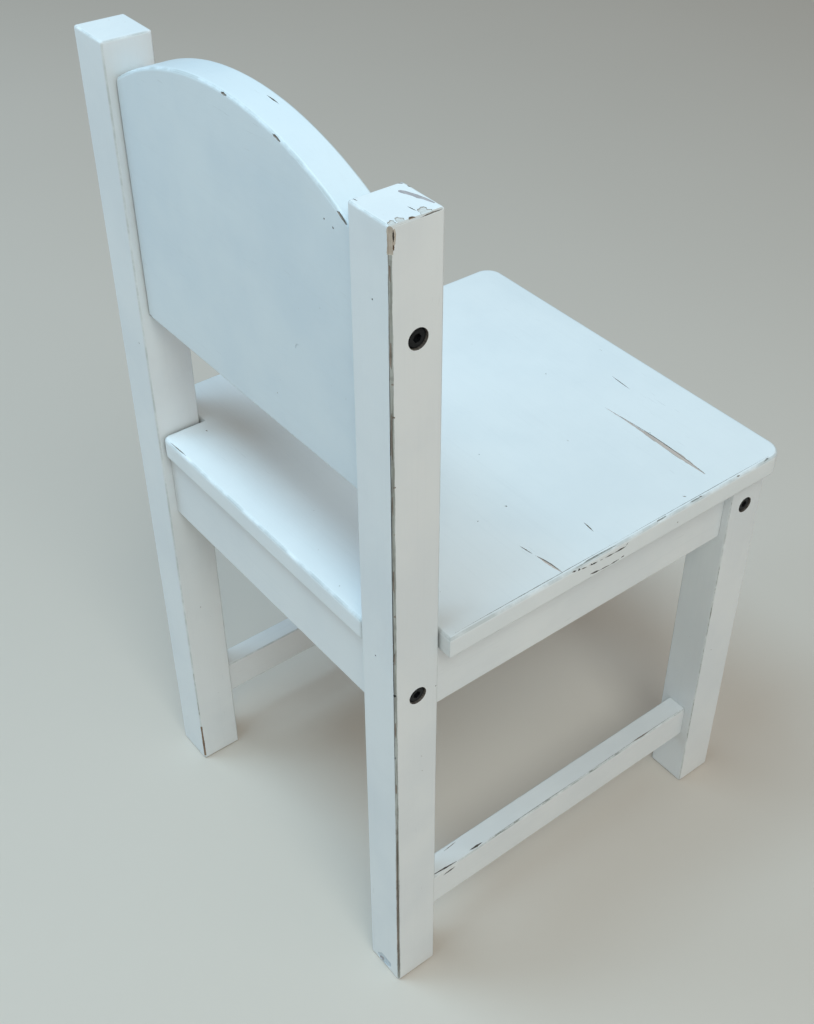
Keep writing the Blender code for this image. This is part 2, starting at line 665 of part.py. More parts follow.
def add_insert(shop, name, side, y, z):
    """A ribbed threaded insert in the end of a rail."""
    bore_radius = BOLT_BORE_RADIUS
    body = INSERT_DIAMETER / 2
    rib = body + INSERT_RIB_HEIGHT
    pitch = INSERT_LENGTH / (INSERT_RIBS + 1)
    profile = [(bore_radius, 0.0), (body, 0.0)]
    for number in range(1, INSERT_RIBS + 1):
        top = -number * pitch
        profile += [(body, top + pitch / 6), (rib, top), (body, top - pitch / 6)]
    profile += [(body, -INSERT_LENGTH), (bore_radius, -INSERT_LENGTH)]
    insert = shop.add_part(turned_object(name, profile, True, ROUND_SIDES), ZINC_STEEL)
    insert.location = (side * (RAIL_END_X - FIT_GAP), y, z)
    insert.rotation_euler.y = side * math.radians(90)
    shade_round(insert)


def add_dowel(shop, name, diameter, start, end):
    """A round beech dowel with a little chamfer at each end."""
    dowel = shop.add_part(rod_object(name, diameter / 2, start, end), BARE_BEECH)
    soften(dowel, diameter / 12, 1)
    shade_round(dowel)


def add_side_dowels(shop, side):
    """The dowels that glue a side frame together."""
    runs = (
        ("apron", SIDE_APRON_X, FRAME_DOWEL_DIAMETER, frame_dowel_heights()),
        ("stretcher", STRETCHER_X, STRETCHER_DOWEL_DIAMETER, stretcher_dowel_heights()),
    )
    ends = (("rear", POST_FRONT_Y, 1), ("front", LEG_REAR_Y, -1))
    for rail, x, diameter, heights in runs:
        for end_name, face_y, towards in ends:
            for level, z in zip(("lower", "upper"), heights):
                name = f"{rail}_dowel_{end_name}_{level}_{side_name(side)}"
                in_post = face_y + towards * SIDE_DOWEL_DEPTH_IN_POST
                in_rail = face_y - towards * (FIT_GAP + FRAME_DOWEL_DEPTH_IN_RAIL)
                add_dowel(shop, name, diameter, (side * x, in_post, z), (side * x, in_rail, z))


def add_cross_dowels(shop, side):
    """The dowels that keep the cross rails from turning on their bolts."""
    runs = (
        ("back_panel_dowel", BACK_Y, BACK_DOWEL_Z),
        ("rear_apron_dowel", REAR_APRON_Y, CROSS_DOWEL_Z),
        ("front_apron_dowel", FRONT_APRON_Y, CROSS_DOWEL_Z),
    )
    in_post = side * (INNER_X + CROSS_DOWEL_DEPTH_IN_POST)
    in_rail = side * (RAIL_END_X - CROSS_DOWEL_DEPTH_IN_RAIL)
    for label, y, z in runs:
        add_dowel(shop, f"{label}_{side_name(side)}", CROSS_DOWEL_DIAMETER, (in_post, y, z), (in_rail, y, z))


def seat_screw_tip():
    return SEAT_BOTTOM + SEAT_SCREW_BITE


def add_seat_screws(shop, side):
    """The screws up through the side apron into the seat, their heads in deep wells."""
    shoulder = APRON_TOP - SEAT_SCREW_GRIP - FIT_GAP
    head = SEAT_SCREW_HEAD_DIAMETER / 2
    shank = SEAT_SCREW_DIAMETER / 2
    length = seat_screw_tip() - shoulder
    profile = [
        (0.0, length),
        (shank * 0.6, length - shank),
        (shank, length - 2 * shank),
        (shank, 0.0),
        (head, 0.0),
        (head, -SEAT_SCREW_HEAD_HEIGHT / 2),
        (head * 0.7, -SEAT_SCREW_HEAD_HEIGHT),
        (0.0, -SEAT_SCREW_HEAD_HEIGHT),
    ]
    for place, (x, y) in zip(("rear", "front"), seat_screw_places(side)):
        name = f"seat_screw_{place}_{side_name(side)}"
        screw = shop.add_part(turned_object(name, profile, False, ROUND_SIDES), ZINC_STEEL)
        screw.location = (x, y, shoulder)
        shade_round(screw)


def build_chair():
    clear_scene()
    shop = Workshop()
    for side in (1, -1):
        add_rear_post(shop, side)
        add_front_leg(shop, side)
        add_side_apron(shop, side)
        add_side_stretcher(shop, side)
    add_cross_apron(shop, "rear_apron", REAR_APRON_Y)
    add_cross_apron(shop, "front_apron", FRONT_APRON_Y)
    add_seat_board(shop)
    add_back_panel(shop)
    for bolt_name, insert_name, side, y, z in bolt_places():
        add_bolt(shop, bolt_name, side, y, z)
        add_insert(shop, insert_name, side, y, z)
    for side in (1, -1):
        add_side_dowels(shop, side)
        add_cross_dowels(shop, side)
        add_seat_screws(shop, side)


build_chair()
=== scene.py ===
"""A child's wooden chair, painted white and worn, seen from above and behind.

Each wooden part is sawn as a block, its edges are eased, its holes drilled and its damage cut in.
Metres, +Z up. The sitter's left is +X and the back of the chair is towards +Y.
"""

import math
import random

import bmesh
import bpy
from mathutils import Matrix, Vector, noise


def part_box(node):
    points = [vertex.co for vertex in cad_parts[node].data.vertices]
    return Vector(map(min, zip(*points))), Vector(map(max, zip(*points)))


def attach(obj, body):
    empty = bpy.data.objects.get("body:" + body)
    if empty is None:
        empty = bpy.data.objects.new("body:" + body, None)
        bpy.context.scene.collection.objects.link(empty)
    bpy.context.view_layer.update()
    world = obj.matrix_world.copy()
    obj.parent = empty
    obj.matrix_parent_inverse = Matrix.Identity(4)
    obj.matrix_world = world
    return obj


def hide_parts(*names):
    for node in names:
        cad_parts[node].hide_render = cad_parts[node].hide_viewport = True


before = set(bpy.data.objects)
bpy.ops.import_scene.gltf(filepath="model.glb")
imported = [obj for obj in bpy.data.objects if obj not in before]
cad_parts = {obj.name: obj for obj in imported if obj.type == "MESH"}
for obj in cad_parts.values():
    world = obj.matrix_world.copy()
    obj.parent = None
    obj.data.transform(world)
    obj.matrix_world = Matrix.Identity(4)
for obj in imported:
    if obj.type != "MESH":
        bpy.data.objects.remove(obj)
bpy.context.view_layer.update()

MM = 0.001
SIDES = {"left": 1, "right": -1}
AXES = {"x": Vector((1, 0, 0)), "y": Vector((0, 1, 0)), "z": Vector((0, 0, 1))}

# Woodwork
ARRIS = 1.5 * MM
ARRIS_STEPS = 4
SEAT_ARRIS = 2.5 * MM
SEAT_FRONT_CORNER = 12 * MM
SEAT_REAR_CORNER = 4 * MM
BACK_ARRIS = 2 * MM
BACK_ARCH_RADIUS = 191.5 * MM
BACK_CORNER = 2.8 * MM
ARCH_SIDES = 256
SAW_PITCH = 9 * MM
SEAT_SAW_PITCH = 14 * MM
BACK_SAW_PITCH = 12 * MM
SEAT_NOTCH_GAP = 0.8 * MM
BLANK_SPARE = 5 * MM
SANDING_DEPTH = 0.14 * MM
SANDING_LENGTH = 45 * MM

# Holes
DRILL_SIDES = 48
HIDDEN_DRILL_SIDES = 24
HOLE_GAP = 0.3 * MM
HEAD_DIAMETER = 10.3 * MM
HEAD_GAP = 0.15 * MM
HEAD_HEIGHT = 3.2 * MM
SHANK_DIAMETER = 6 * MM
SOCKET_ACROSS_FLATS = 4 * MM
SOCKET_DEPTH = 2.2 * MM

CUT_PAST = 1.2 * MM
MERGE = 0.002 * MM
SHARP_ANGLE = math.radians(32)


def let_go():
    """Nothing stays selected, so that the next tool acts on its own piece alone."""
    if bpy.context.object and bpy.context.object.mode != "OBJECT":
        bpy.ops.object.mode_set(mode="OBJECT")
    bpy.ops.object.select_all(action="DESELECT")


def take_up(piece):
    let_go()
    piece.select_set(True)
    bpy.context.view_layer.objects.active = piece


def choose(piece, kind, wanted):
    """In edit mode, selects the piece's vertices, edges or faces that wanted says yes to."""
    take_up(piece)
    bpy.ops.object.mode_set(mode="EDIT")
    bpy.ops.mesh.select_mode(type=kind)
    bpy.ops.mesh.select_all(action="DESELECT")
    shape = bmesh.from_edit_mesh(piece.data)
    for element in {"VERT": shape.verts, "EDGE": shape.edges, "FACE": shape.faces}[kind]:
        if wanted(element):
            element.select_set(True)
    shape.select_flush_mode()
    bmesh.update_edit_mesh(piece.data)


def done():
    bpy.ops.object.mode_set(mode="OBJECT")


def settle(piece):
    """Puts the piece's place, turn and size into its mesh."""
    take_up(piece)
    bpy.ops.object.transform_apply(location=True, rotation=True, scale=True)
    return piece


def sawn_block(name, low, high):
    """A rectangular blank, as it leaves the saw."""
    low, high = Vector(low), Vector(high)
    let_go()
    bpy.ops.mesh.primitive_cube_add(size=1, location=(low + high) / 2)
    blank = bpy.context.object
    blank.name = name
    blank.scale = high - low
    return settle(blank)


def rod(name, start, end, radius, sides=DRILL_SIDES):
    """A round bar from start to end."""
    start, end = Vector(start), Vector(end)
    run = end - start
    let_go()
    bpy.ops.mesh.primitive_cylinder_add(
        vertices=sides, radius=radius, depth=run.length, location=(start + end) / 2,
        rotation=run.to_track_quat("Z", "Y").to_euler(),
    )
    bar = bpy.context.object
    bar.name = name
    return settle(bar)


def ease_edges(piece, width, wanted=lambda edge: True, steps=ARRIS_STEPS):
    choose(piece, "EDGE", wanted)
    bpy.ops.mesh.bevel(offset=width, segments=steps, profile=0.5, affect="EDGES", clamp_overlap=True)
    done()


def saw_lines(piece, axis, pitch=SAW_PITCH):
    """Cross lines at an even pitch along the piece, which let its faces wander a little."""
    low, high = box_of(piece)
    index = "xyz".index(axis)
    count = max(2, round((high[index] - low[index]) / pitch))
    choose(piece, "FACE", lambda face: True)
    for number in range(1, count):
        place = Vector()
        place[index] = low[index] + (high[index] - low[index]) * (number + 0.13) / count
        bpy.ops.mesh.select_all(action="SELECT")
        bpy.ops.mesh.bisect(plane_co=place, plane_no=AXES[axis])
    done()


def box_of(piece):
    places = [vertex.co for vertex in piece.data.vertices]
    low = Vector(min(place[axis] for place in places) for axis in range(3))
    high = Vector(max(place[axis] for place in places) for axis in range(3))
    return low, high


def sand(piece, depth=SANDING_DEPTH, length=SANDING_LENGTH):
    """Hand sanding: every face sinks by up to the depth, in slow waves."""
    take_up(piece)
    bpy.ops.object.mode_set(mode="EDIT")
    shape = bmesh.from_edit_mesh(piece.data)
    shape.normal_update()
    moves = []
    for vertex in shape.verts:
        wave = 0.5 + 0.5 * noise.noise(vertex.co / length)
        moves.append((vertex, vertex.normal * depth * min(1.0, max(0.0, wave))))
    for vertex, move in moves:
        vertex.co -= move
    bmesh.update_edit_mesh(piece.data)
    done()


def carve(piece, cutter, operation="DIFFERENCE"):
    """Takes the cutter out of the piece. The cut is lined with the cutter's own finish.

    The exact solver gives no error when its result is open or lost, and a render still prints OK. So after
    any change to a cut, the piece's open edges have to be counted. The near rear post has open edges now.
    """
    take_up(piece)
    bpy.ops.object.modifier_add(type="BOOLEAN")
    cut = piece.modifiers[-1]
    cut.operation = operation
    cut.solver = "EXACT"
    cut.material_mode = "TRANSFER"
    cut.object = cutter
    bpy.ops.object.modifier_apply(modifier=cut.name)
    bpy.data.objects.remove(cutter, do_unlink=True)


def finish_piece(piece, nodes):
    """Merges doubles, smooths all but the sharp edges, and puts the piece on the chair for its CAD nodes."""
    choose(piece, "FACE", lambda face: True)
    bpy.ops.mesh.remove_doubles(threshold=MERGE)
    bpy.ops.mesh.dissolve_degenerate(threshold=MERGE)
    bpy.ops.mesh.select_all(action="SELECT")
    bpy.ops.mesh.normals_make_consistent(inside=False)
    done()
    bpy.ops.object.shade_smooth_by_angle(angle=SHARP_ANGLE)
    bpy.ops.object.modifier_add(type="WEIGHTED_NORMAL")
    piece.modifiers[-1].keep_sharp = True
    piece.modifiers[-1].weight = 50
    bpy.ops.object.modifier_apply(modifier=piece.modifiers[-1].name)
    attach(piece, "root")
    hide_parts(*nodes)
    return piece


class Finish:
    """A material being mixed. Its patterns are laid in object coordinates, in metres."""

    def __init__(self, name):
        self.material = bpy.data.materials.new(name)
        self.material.use_nodes = True
        self.tree = self.material.node_tree
        self.shader = self.tree.nodes["Principled BSDF"]
        self.place = self.tree.nodes.new("ShaderNodeTexCoord").outputs["Object"]

    def add(self, kind, inputs=(), **settings):
        node = self.tree.nodes.new(kind)
        for key, value in settings.items():
            setattr(node, key, value)
        for key, value in dict(inputs).items():
            self.feed(node.inputs[key], value)
        return node

    def feed(self, socket, value):
        if isinstance(value, bpy.types.NodeSocket):
            self.tree.links.new(value, socket)
        else:
            socket.default_value = value

    def laid(self, lengths, turn=(0, 0, 0)):
        """Coordinates in which one unit is the given length in metres along x, y and z."""
        scale = [1 / length for length in lengths]
        return self.add(
            "ShaderNodeMapping", {"Vector": self.place, "Scale": scale, "Rotation": turn}
        ).outputs["Vector"]

    def noise(self, lengths, detail=3.0, roughness=0.55, distortion=0.0, turn=(0, 0, 0)):
        made = self.add("ShaderNodeTexNoise", {
            "Vector": self.laid(lengths, turn), "Scale": 1.0, "Detail": detail,
            "Roughness": roughness, "Distortion": distortion,
        })
        return made.outputs["Fac"]

    def maths(self, operation, first, second=0.5):
        return self.add("ShaderNodeMath", {0: first, 1: second}, operation=operation).outputs[0]

    def between(self, value, low, high, soft=True):
        """Nought below low, one above high, and a smooth rise between."""
        kind = "SMOOTHSTEP" if soft else "LINEAR"
        return self.add("ShaderNodeMapRange", {
            "Value": value, "From Min": low, "From Max": high, "To Min": 0.0, "To Max": 1.0,
        }, interpolation_type=kind).outputs["Result"]

    def blend(self, share, first, second):
        made = self.add("ShaderNodeMix", data_type="RGBA")
        self.feed(made.inputs[0], share)
        for socket, value in ((made.inputs[6], first), (made.inputs[7], second)):
            self.feed(socket, value if isinstance(value, bpy.types.NodeSocket) else (*value, 1.0))
        return made.outputs[2]

    def corner_shade_and_grime(self, reach):
        """One in the occluded corners where two parts meet, nought out in the open: the mask for painted
        shade and grime there.
        """
        made = self.add("ShaderNodeAmbientOcclusion", {"Distance": reach}, samples=8)
        return self.maths("SUBTRACT", 1.0, made.outputs["AO"])

    def arris(self, radius):
        """One on the edges of a part, nought on its flats."""
        rounded = self.add("ShaderNodeBevel", {"Radius": radius}, samples=6).outputs["Normal"]
        true = self.add("ShaderNodeNewGeometry").outputs["True Normal"]
        dot = self.add("ShaderNodeVectorMath", {0: rounded, 1: true}, operation="DOT_PRODUCT")
        return self.maths("SUBTRACT", 1.0, dot.outputs["Value"])

    def edge_share(self, arched):
        """Nought on the flats of a part, rising on its rounded edges. An arched rim counts as flat."""
        facing = self.tree.nodes.new("ShaderNodeTexCoord").outputs["Normal"]
        facing = self.add("ShaderNodeVectorMath", {0: facing}, operation="ABSOLUTE").outputs["Vector"]
        x, y, z = self.add("ShaderNodeSeparateXYZ", {"Vector": facing}).outputs
        if arched:
            rim = self.maths("ADD", self.maths("MULTIPLY", x, x), self.maths("MULTIPLY", z, z))
            flat = self.maths("MAXIMUM", y, self.maths("SQRT", rim))
        else:
            flat = self.maths("MAXIMUM", x, self.maths("MAXIMUM", y, z))
        return self.maths("SUBTRACT", 1.0, flat)

    def bump(self, height, distance, strength=1.0, under=None):
        inputs = {"Height": height, "Distance": distance, "Strength": strength}
        if under is not None:
            inputs["Normal"] = under
        return self.add("ShaderNodeBump", inputs).outputs["Normal"]

    def paint(self, colour, roughness, normal=None):
        self.feed(self.shader.inputs["Base Color"], colour)
        self.feed(self.shader.inputs["Roughness"], roughness)
        if normal is not None:
            self.feed(self.shader.inputs["Normal"], normal)
        return self.material


def along(axis, length, width):
    """Pattern lengths that are long along one axis and short across it."""
    return [length if letter == axis else width for letter in "xyz"]


def mix_paint(name, tint, shade, grain, arched=False):
    """Satin brush paint over straight grain, with faint streaks, specks, scuffs, and grime with painted shade
    in the corners.
    """
    paint = Finish(name)
    cloud = paint.noise((0.07, 0.07, 0.07), detail=4)
    streak = paint.noise(along(grain, 0.09, 0.0022), detail=5)
    colour = paint.blend(paint.between(cloud, 0.35, 0.68), tint, shade)
    colour = paint.blend(
        paint.maths("MULTIPLY", paint.between(streak, 0.52, 0.78), 0.10), colour, (0.60, 0.64, 0.66)
    )
    fleck = paint.noise((0.0042, 0.0042, 0.0042), detail=2, distortion=0.4)
    region = paint.between(paint.noise((0.035, 0.035, 0.035), detail=1), 0.57, 0.67)
    fleck = paint.maths("MULTIPLY", paint.between(fleck, 0.745, 0.775), region)
    colour = paint.blend(paint.maths("MULTIPLY", fleck, 0.75), colour, (0.23, 0.19, 0.16))
    scuff = paint.noise(along(grain, 0.012, 0.0011), detail=2, turn=(0.35, 0.2, 0.5))
    scuff_region = paint.between(paint.noise((0.05, 0.05, 0.05), detail=1, turn=(1, 2, 3)), 0.55, 0.66)
    scuff = paint.maths("MULTIPLY", paint.between(scuff, 0.66, 0.74), scuff_region)
    colour = paint.blend(paint.maths("MULTIPLY", scuff, 0.22), colour, (0.50, 0.52, 0.53))
    # Painted shade: the paint is darkened in occluded corners and between parts, standing for shade as well
    # as grime there.
    grime_and_shade = paint.between(paint.corner_shade_and_grime(0.007), 0.42, 0.95)
    colour = paint.blend(paint.maths("MULTIPLY", grime_and_shade, 0.5), colour, (0.33, 0.33, 0.31))
    worn = paint.maths("MULTIPLY", paint.between(paint.arris(0.0012), 0.04, 0.16),
                       paint.between(paint.noise((0.006, 0.006, 0.006), detail=4), 0.56, 0.63))
    colour = paint.blend(paint.maths("MULTIPLY", worn, 0.5), colour, (0.36, 0.34, 0.30))
    handled = paint.between(paint.noise((0.016, 0.016, 0.016), detail=5, roughness=0.65), 0.30, 0.62)
    handled = paint.maths("MULTIPLY", paint.between(paint.edge_share(arched), 0.02, 0.13), handled)
    colour = paint.blend(paint.maths("MULTIPLY", handled, 0.48), colour, (0.33, 0.36, 0.34))
    satin = paint.maths("MULTIPLY_ADD", cloud, 0.16)
    satin.node.inputs[2].default_value = 0.30
    satin = paint.maths("ADD", satin, paint.maths("MULTIPLY", scuff, 0.2))
    normal = paint.bump(paint.noise(along(grain, 0.05, 0.0016), detail=3), 0.00011, 0.55)
    normal = paint.bump(paint.noise((0.0035, 0.0035, 0.0035), detail=2), 0.00007, 0.5, under=normal)
    normal = paint.bump(paint.noise((0.03, 0.03, 0.03), detail=1), 0.0004, 0.4, under=normal)
    return paint.paint(colour, satin, normal)


def mix_bare_wood(name, light, dark, grain, roughness=0.78):
    """Old bare beech with dirt rubbed into its grain."""
    wood = Finish(name)
    streak = wood.noise(along(grain, 0.03, 0.0008), detail=6, roughness=0.65)
    patch = wood.noise((0.006, 0.006, 0.006), detail=3)
    colour = wood.blend(wood.between(streak, 0.35, 0.68), light, dark)
    colour = wood.blend(wood.maths("MULTIPLY", wood.between(patch, 0.5, 0.7), 0.5), colour, dark)
    normal = wood.bump(streak, 0.0003, 0.8)
    return wood.paint(colour, roughness, normal)


def mix_black_steel():
    """Black oxide on a steel bolt, dull in its hollows and brighter on its rims."""
    steel = Finish("black_oxide_steel")
    spots = steel.noise((0.0012, 0.0012, 0.0012), detail=3)
    colour = steel.blend(steel.between(spots, 0.45, 0.7), (0.006, 0.0065, 0.008), (0.014, 0.014, 0.016))
    rim = steel.between(steel.arris(0.0005), 0.05, 0.3)
    colour = steel.blend(steel.maths("MULTIPLY", rim, 0.3), colour, (0.05, 0.05, 0.055))
    rough = steel.between(spots, 0.2, 0.9, soft=False)
    rough = steel.maths("MULTIPLY_ADD", rough, 0.25)
    rough.node.inputs[2].default_value = 0.28
    steel.feed(steel.shader.inputs["Metallic"], 0.15)
    steel.feed(steel.shader.inputs["Specular IOR Level"], 0.22)
    return steel.paint(colour, rough, steel.bump(spots, 0.00003, 0.4))


def mix_zinc():
    """Bright zinc plating with its cloudy bloom."""
    zinc = Finish("zinc_plated_steel")
    bloom = zinc.noise((0.003, 0.003, 0.003), detail=4)
    colour = zinc.blend(bloom, (0.50, 0.51, 0.53), (0.66, 0.66, 0.64))
    zinc.feed(zinc.shader.inputs["Metallic"], 0.9)
    return zinc.paint(colour, zinc.between(bloom, -0.6, 1.6, soft=False), zinc.bump(bloom, 0.00003, 0.5))


def mix_floor():
    """A plain pale floor with the faintest unevenness."""
    floor = Finish("pale_floor")
    cloud = floor.noise((0.9, 0.9, 0.9), detail=3)
    colour = floor.blend(cloud, (0.60, 0.535, 0.465), (0.66, 0.59, 0.52))
    return floor.paint(colour, 0.75, floor.bump(floor.noise((0.02, 0.02, 0.02)), 0.0003, 0.1))


PAINT = {axis: mix_paint(f"white_paint_grain_{axis}", (0.79, 0.815, 0.82), (0.74, 0.77, 0.785), axis)
         for axis in "xyz"}
SEAT_PAINT = mix_paint("seat_paint_grain_x", (0.80, 0.835, 0.845), (0.76, 0.80, 0.815), "x")
BACK_PAINT = mix_paint("back_paint_grain_x", (0.72, 0.785, 0.815), (0.665, 0.74, 0.785), "x", arched=True)
RUBBED_WOOD = mix_bare_wood("rubbed_grey_wood", (0.36, 0.31, 0.27), (0.15, 0.13, 0.11), "z")
BROWN_WOOD = mix_bare_wood("bare_brown_wood", (0.33, 0.22, 0.14), (0.12, 0.07, 0.045), "z")
PALE_WOOD = mix_bare_wood("grey_beige_wood", (0.64, 0.53, 0.47), (0.48, 0.41, 0.37), "x")
WORN_EDGE = mix_bare_wood("grey_worn_edge", (0.47, 0.50, 0.48), (0.22, 0.22, 0.20), "z", roughness=0.6)
STAINED = mix_bare_wood("stained_undercoat", (0.58, 0.53, 0.46), (0.38, 0.32, 0.26), "z", roughness=0.7)
# Near-black dirt in cracks, also used as painted shade inside the bolt counterbores.
DIRT_AND_SHADE_IN_CRACKS = mix_bare_wood("dirt_and_painted_shade_in_cracks", (0.17, 0.15, 0.13), (0.06, 0.05, 0.045), "x")
UNDERCOAT = mix_bare_wood("old_undercoat", (0.68, 0.68, 0.66), (0.54, 0.52, 0.49), "y", roughness=0.6)
GREY_RUB = mix_bare_wood("grey_rubbed_primer", (0.46, 0.42, 0.42), (0.34, 0.31, 0.32), "x", roughness=0.5)
DUSTY = mix_bare_wood("dusty_smudge", (0.50, 0.54, 0.55), (0.36, 0.40, 0.41), "x", roughness=0.6)
FAINT_SCUFF = mix_bare_wood("faint_scuff", (0.62, 0.68, 0.72), (0.50, 0.56, 0.60), "x", roughness=0.45)
BLACK_STEEL = mix_black_steel()
ZINC = mix_zinc()
BEECH = mix_bare_wood("clean_beech", (0.62, 0.45, 0.29), (0.48, 0.33, 0.20), "x", roughness=0.6)


# Faces of the chair that carry marks: the axis across them, their level, and the way they look
SEAT_TOP = ("z", 292 * MM, 1)
SEAT_RIGHT = ("x", -138 * MM, -1)
POST_TOP = ("z", 530 * MM, 1)
POST_REAR = ("y", 145 * MM, 1)
POST_RIGHT = ("x", -130 * MM, -1)
BACK_REAR = ("y", 140.4 * MM, 1)
ARCH_TOP = ("z", 540.3 * MM, 1)
STRETCHER_RIGHT = ("x", -123.4 * MM, -1)
STRETCHER_TOP = ("z", 72 * MM, 1)


def on_face(face, first, second, height=0.0):
    """The point on a face at its first and second coordinates, in millimetres, and a height above it."""
    axis, level, outward = face
    values = [first * MM, second * MM]
    values.insert("xyz".index(axis), level + outward * height)
    return Vector(values)


def plug(name, face, outline, depth, lining):
    """A cutter with the shape of a closed outline on a face, reaching down by the depth."""
    let_go()
    bpy.ops.mesh.primitive_circle_add(vertices=len(outline), radius=MM, fill_type="NGON")
    cutter = bpy.context.object
    cutter.name = name
    bpy.ops.object.mode_set(mode="EDIT")
    shape = bmesh.from_edit_mesh(cutter.data)
    shape.verts.ensure_lookup_table()
    for vertex, (first, second) in zip(shape.verts, outline):
        vertex.co = on_face(face, first, second, CUT_PAST)
    bmesh.update_edit_mesh(cutter.data)
    bpy.ops.mesh.select_all(action="SELECT")
    down = on_face(face, 0, 0, -depth) - on_face(face, 0, 0, CUT_PAST)
    bpy.ops.mesh.extrude_region_move(TRANSFORM_OT_translate={"value": down})
    bpy.ops.mesh.select_all(action="SELECT")
    bpy.ops.mesh.normals_make_consistent(inside=False)
    done()
    cutter.data.materials.append(lining)
    return cutter


def chip_outline(centre, length, width, turn, seed, corners=13):
    """An irregular closed line, in millimetres: the edge of the paint round a chip."""
    draw = random.Random(seed)
    outline = []
    for number in range(corners):
        angle = 2 * math.pi * number / corners
        reach = draw.uniform(0.72, 1.12)
        first = length / 2 * math.cos(angle) * reach
        second = width / 2 * math.sin(angle) * reach
        cos, sin = math.cos(math.radians(turn)), math.sin(math.radians(turn))
        outline.append((centre[0] + first * cos - second * sin, centre[1] + first * sin + second * cos))
    return outline


def split_outline(start, end, width, seed, fattest=0.5, bow=0.0, steps=16):
    """A long closed line, in millimetres, thin at both ends and widest at the fattest share of its run."""
    draw = random.Random(seed)
    start, end = Vector(start), Vector(end)
    run = end - start
    across = Vector((-run.y, run.x)).normalized()
    power = math.log(0.5) / math.log(fattest)
    near, far = [], []
    for number in range(steps + 1):
        share = number / steps
        fullness = math.sin(math.pi * share ** power) ** 1.2 if 0 < share < 1 else 0.0
        sway = bow * math.sin(math.pi * share) + draw.uniform(-0.05, 0.05) * width
        middle = start + run * share + across * sway
        half = width / 2 * (0.12 + 0.88 * fullness) * draw.uniform(0.75, 1.15)
        near.append(middle + across * half)
        far.append(middle - across * half)
    return [tuple(place) for place in near] + [tuple(place) for place in reversed(far)]


def chip(piece, face, centre, length, width, turn, seed, lining, depth=0.3):
    outline = chip_outline(centre, length, width, turn, seed)
    carve(piece, plug("chip", face, outline, depth * MM, lining))


def split(piece, face, start, end, width, seed, lining, depth=0.5, **shape):
    outline = split_outline(start, end, width, seed, **shape)
    carve(piece, plug("split", face, outline, depth * MM, lining))


def flake(piece, face, outline, lining, depth=0.4, rim=0.35):
    """A flake of paint is gone: a dark ring of rubbed wood runs round the broken rim, and an older coat shows
    inside.
    """
    middle = sum((Vector(place) for place in outline), Vector((0, 0))) / len(outline)
    grown = []
    for place in outline:
        away = Vector(place) - middle
        grown.append(tuple(middle + away * (1 + rim / away.length)))
    carve(piece, plug("flake_rim", face, grown, depth * 0.5 * MM, RUBBED_WOOD))
    carve(piece, plug("flake", face, outline, depth * MM, lining))


def nick(piece, place, size, seed, lining):
    """A bite out of an edge or a corner, left by a knock: a rough lump of the given size is cut away."""
    let_go()
    bpy.ops.mesh.primitive_ico_sphere_add(subdivisions=3, radius=0.5, location=Vector(place) * MM)
    lump = bpy.context.object
    lump.name = "nick"
    lump.scale = Vector(size) * MM
    lump.rotation_euler = (0.3 * seed, 0.7 * seed, 0.0)
    settle(lump)
    choose(lump, "VERT", lambda vertex: True)
    bpy.ops.transform.vertex_random(offset=min(size) * 0.12 * MM, seed=seed)
    done()
    lump.data.materials.append(lining)
    carve(piece, lump)


def rubbed_edge(piece, path, depth, uneven, seed, lining, patch=9.0, pitch=1.6):
    """Planes off an edge by hand: a strip along it, in and out of the wood, so paint stays where it runs out.

    The path gives for a distance along the edge its sharp corner and the way that the strip looks outwards.
    """
    length, corner_at = path
    rows = max(4, round(length / (pitch * MM)))
    let_go()
    bpy.ops.mesh.primitive_grid_add(x_subdivisions=rows, y_subdivisions=2, size=1)
    strip = bpy.context.object
    strip.name = "rubbed_edge"
    draw = random.Random(seed)
    bpy.ops.object.mode_set(mode="EDIT")
    shape = bmesh.from_edit_mesh(strip.data)
    lows = []
    for vertex in sorted(shape.verts, key=lambda vertex: (round(vertex.co.x, 5), vertex.co.y)):
        along_edge = (vertex.co.x + 0.5) * length
        corner, outward, across = corner_at(along_edge)
        wave = noise.noise(Vector((along_edge / (patch * MM), seed * 3.7, 0.0)))
        level = depth + uneven * wave + draw.uniform(-0.25, 0.25) * uneven
        lows.append((vertex, corner - outward * level * MM + across * vertex.co.y * 2 * 2.4 * MM))
    for vertex, place in lows:
        vertex.co = place
    bmesh.update_edit_mesh(strip.data)
    bpy.ops.mesh.select_all(action="SELECT")
    outward = corner_at(length / 2)[1]
    bpy.ops.mesh.extrude_region_move(TRANSFORM_OT_translate={"value": outward * 4 * MM})
    bpy.ops.mesh.select_all(action="SELECT")
    bpy.ops.mesh.normals_make_consistent(inside=False)
    done()
    strip.data.materials.append(lining)
    carve(piece, strip)


def straight_edge(start, end, first_face, second_face):
    """The path of a straight edge between two faces, given their outward directions."""
    start, end = Vector(start) * MM, Vector(end) * MM
    run = end - start
    outward = (Vector(first_face) + Vector(second_face)).normalized()
    across = (Vector(first_face) - Vector(second_face)).normalized()
    return run.length, lambda distance: (start + run.normalized() * distance, outward, across)


def bore_for(piece, node, axis, past=0.0):
    """The hole that a hidden dowel, insert or screw sits in, a little wider than the thing itself."""
    low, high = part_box(node)
    index = "xyz".index(axis)
    start, end = (low + high) / 2, (low + high) / 2
    start[index], end[index] = low[index] - HOLE_GAP - past, high[index] + HOLE_GAP + past
    other = (index + 1) % 3
    radius = (high[other] - low[other]) / 2 + HOLE_GAP
    drill = rod("drill", start, end, radius, HIDDEN_DRILL_SIDES)
    drill.data.materials.append(BEECH)
    carve(piece, drill)


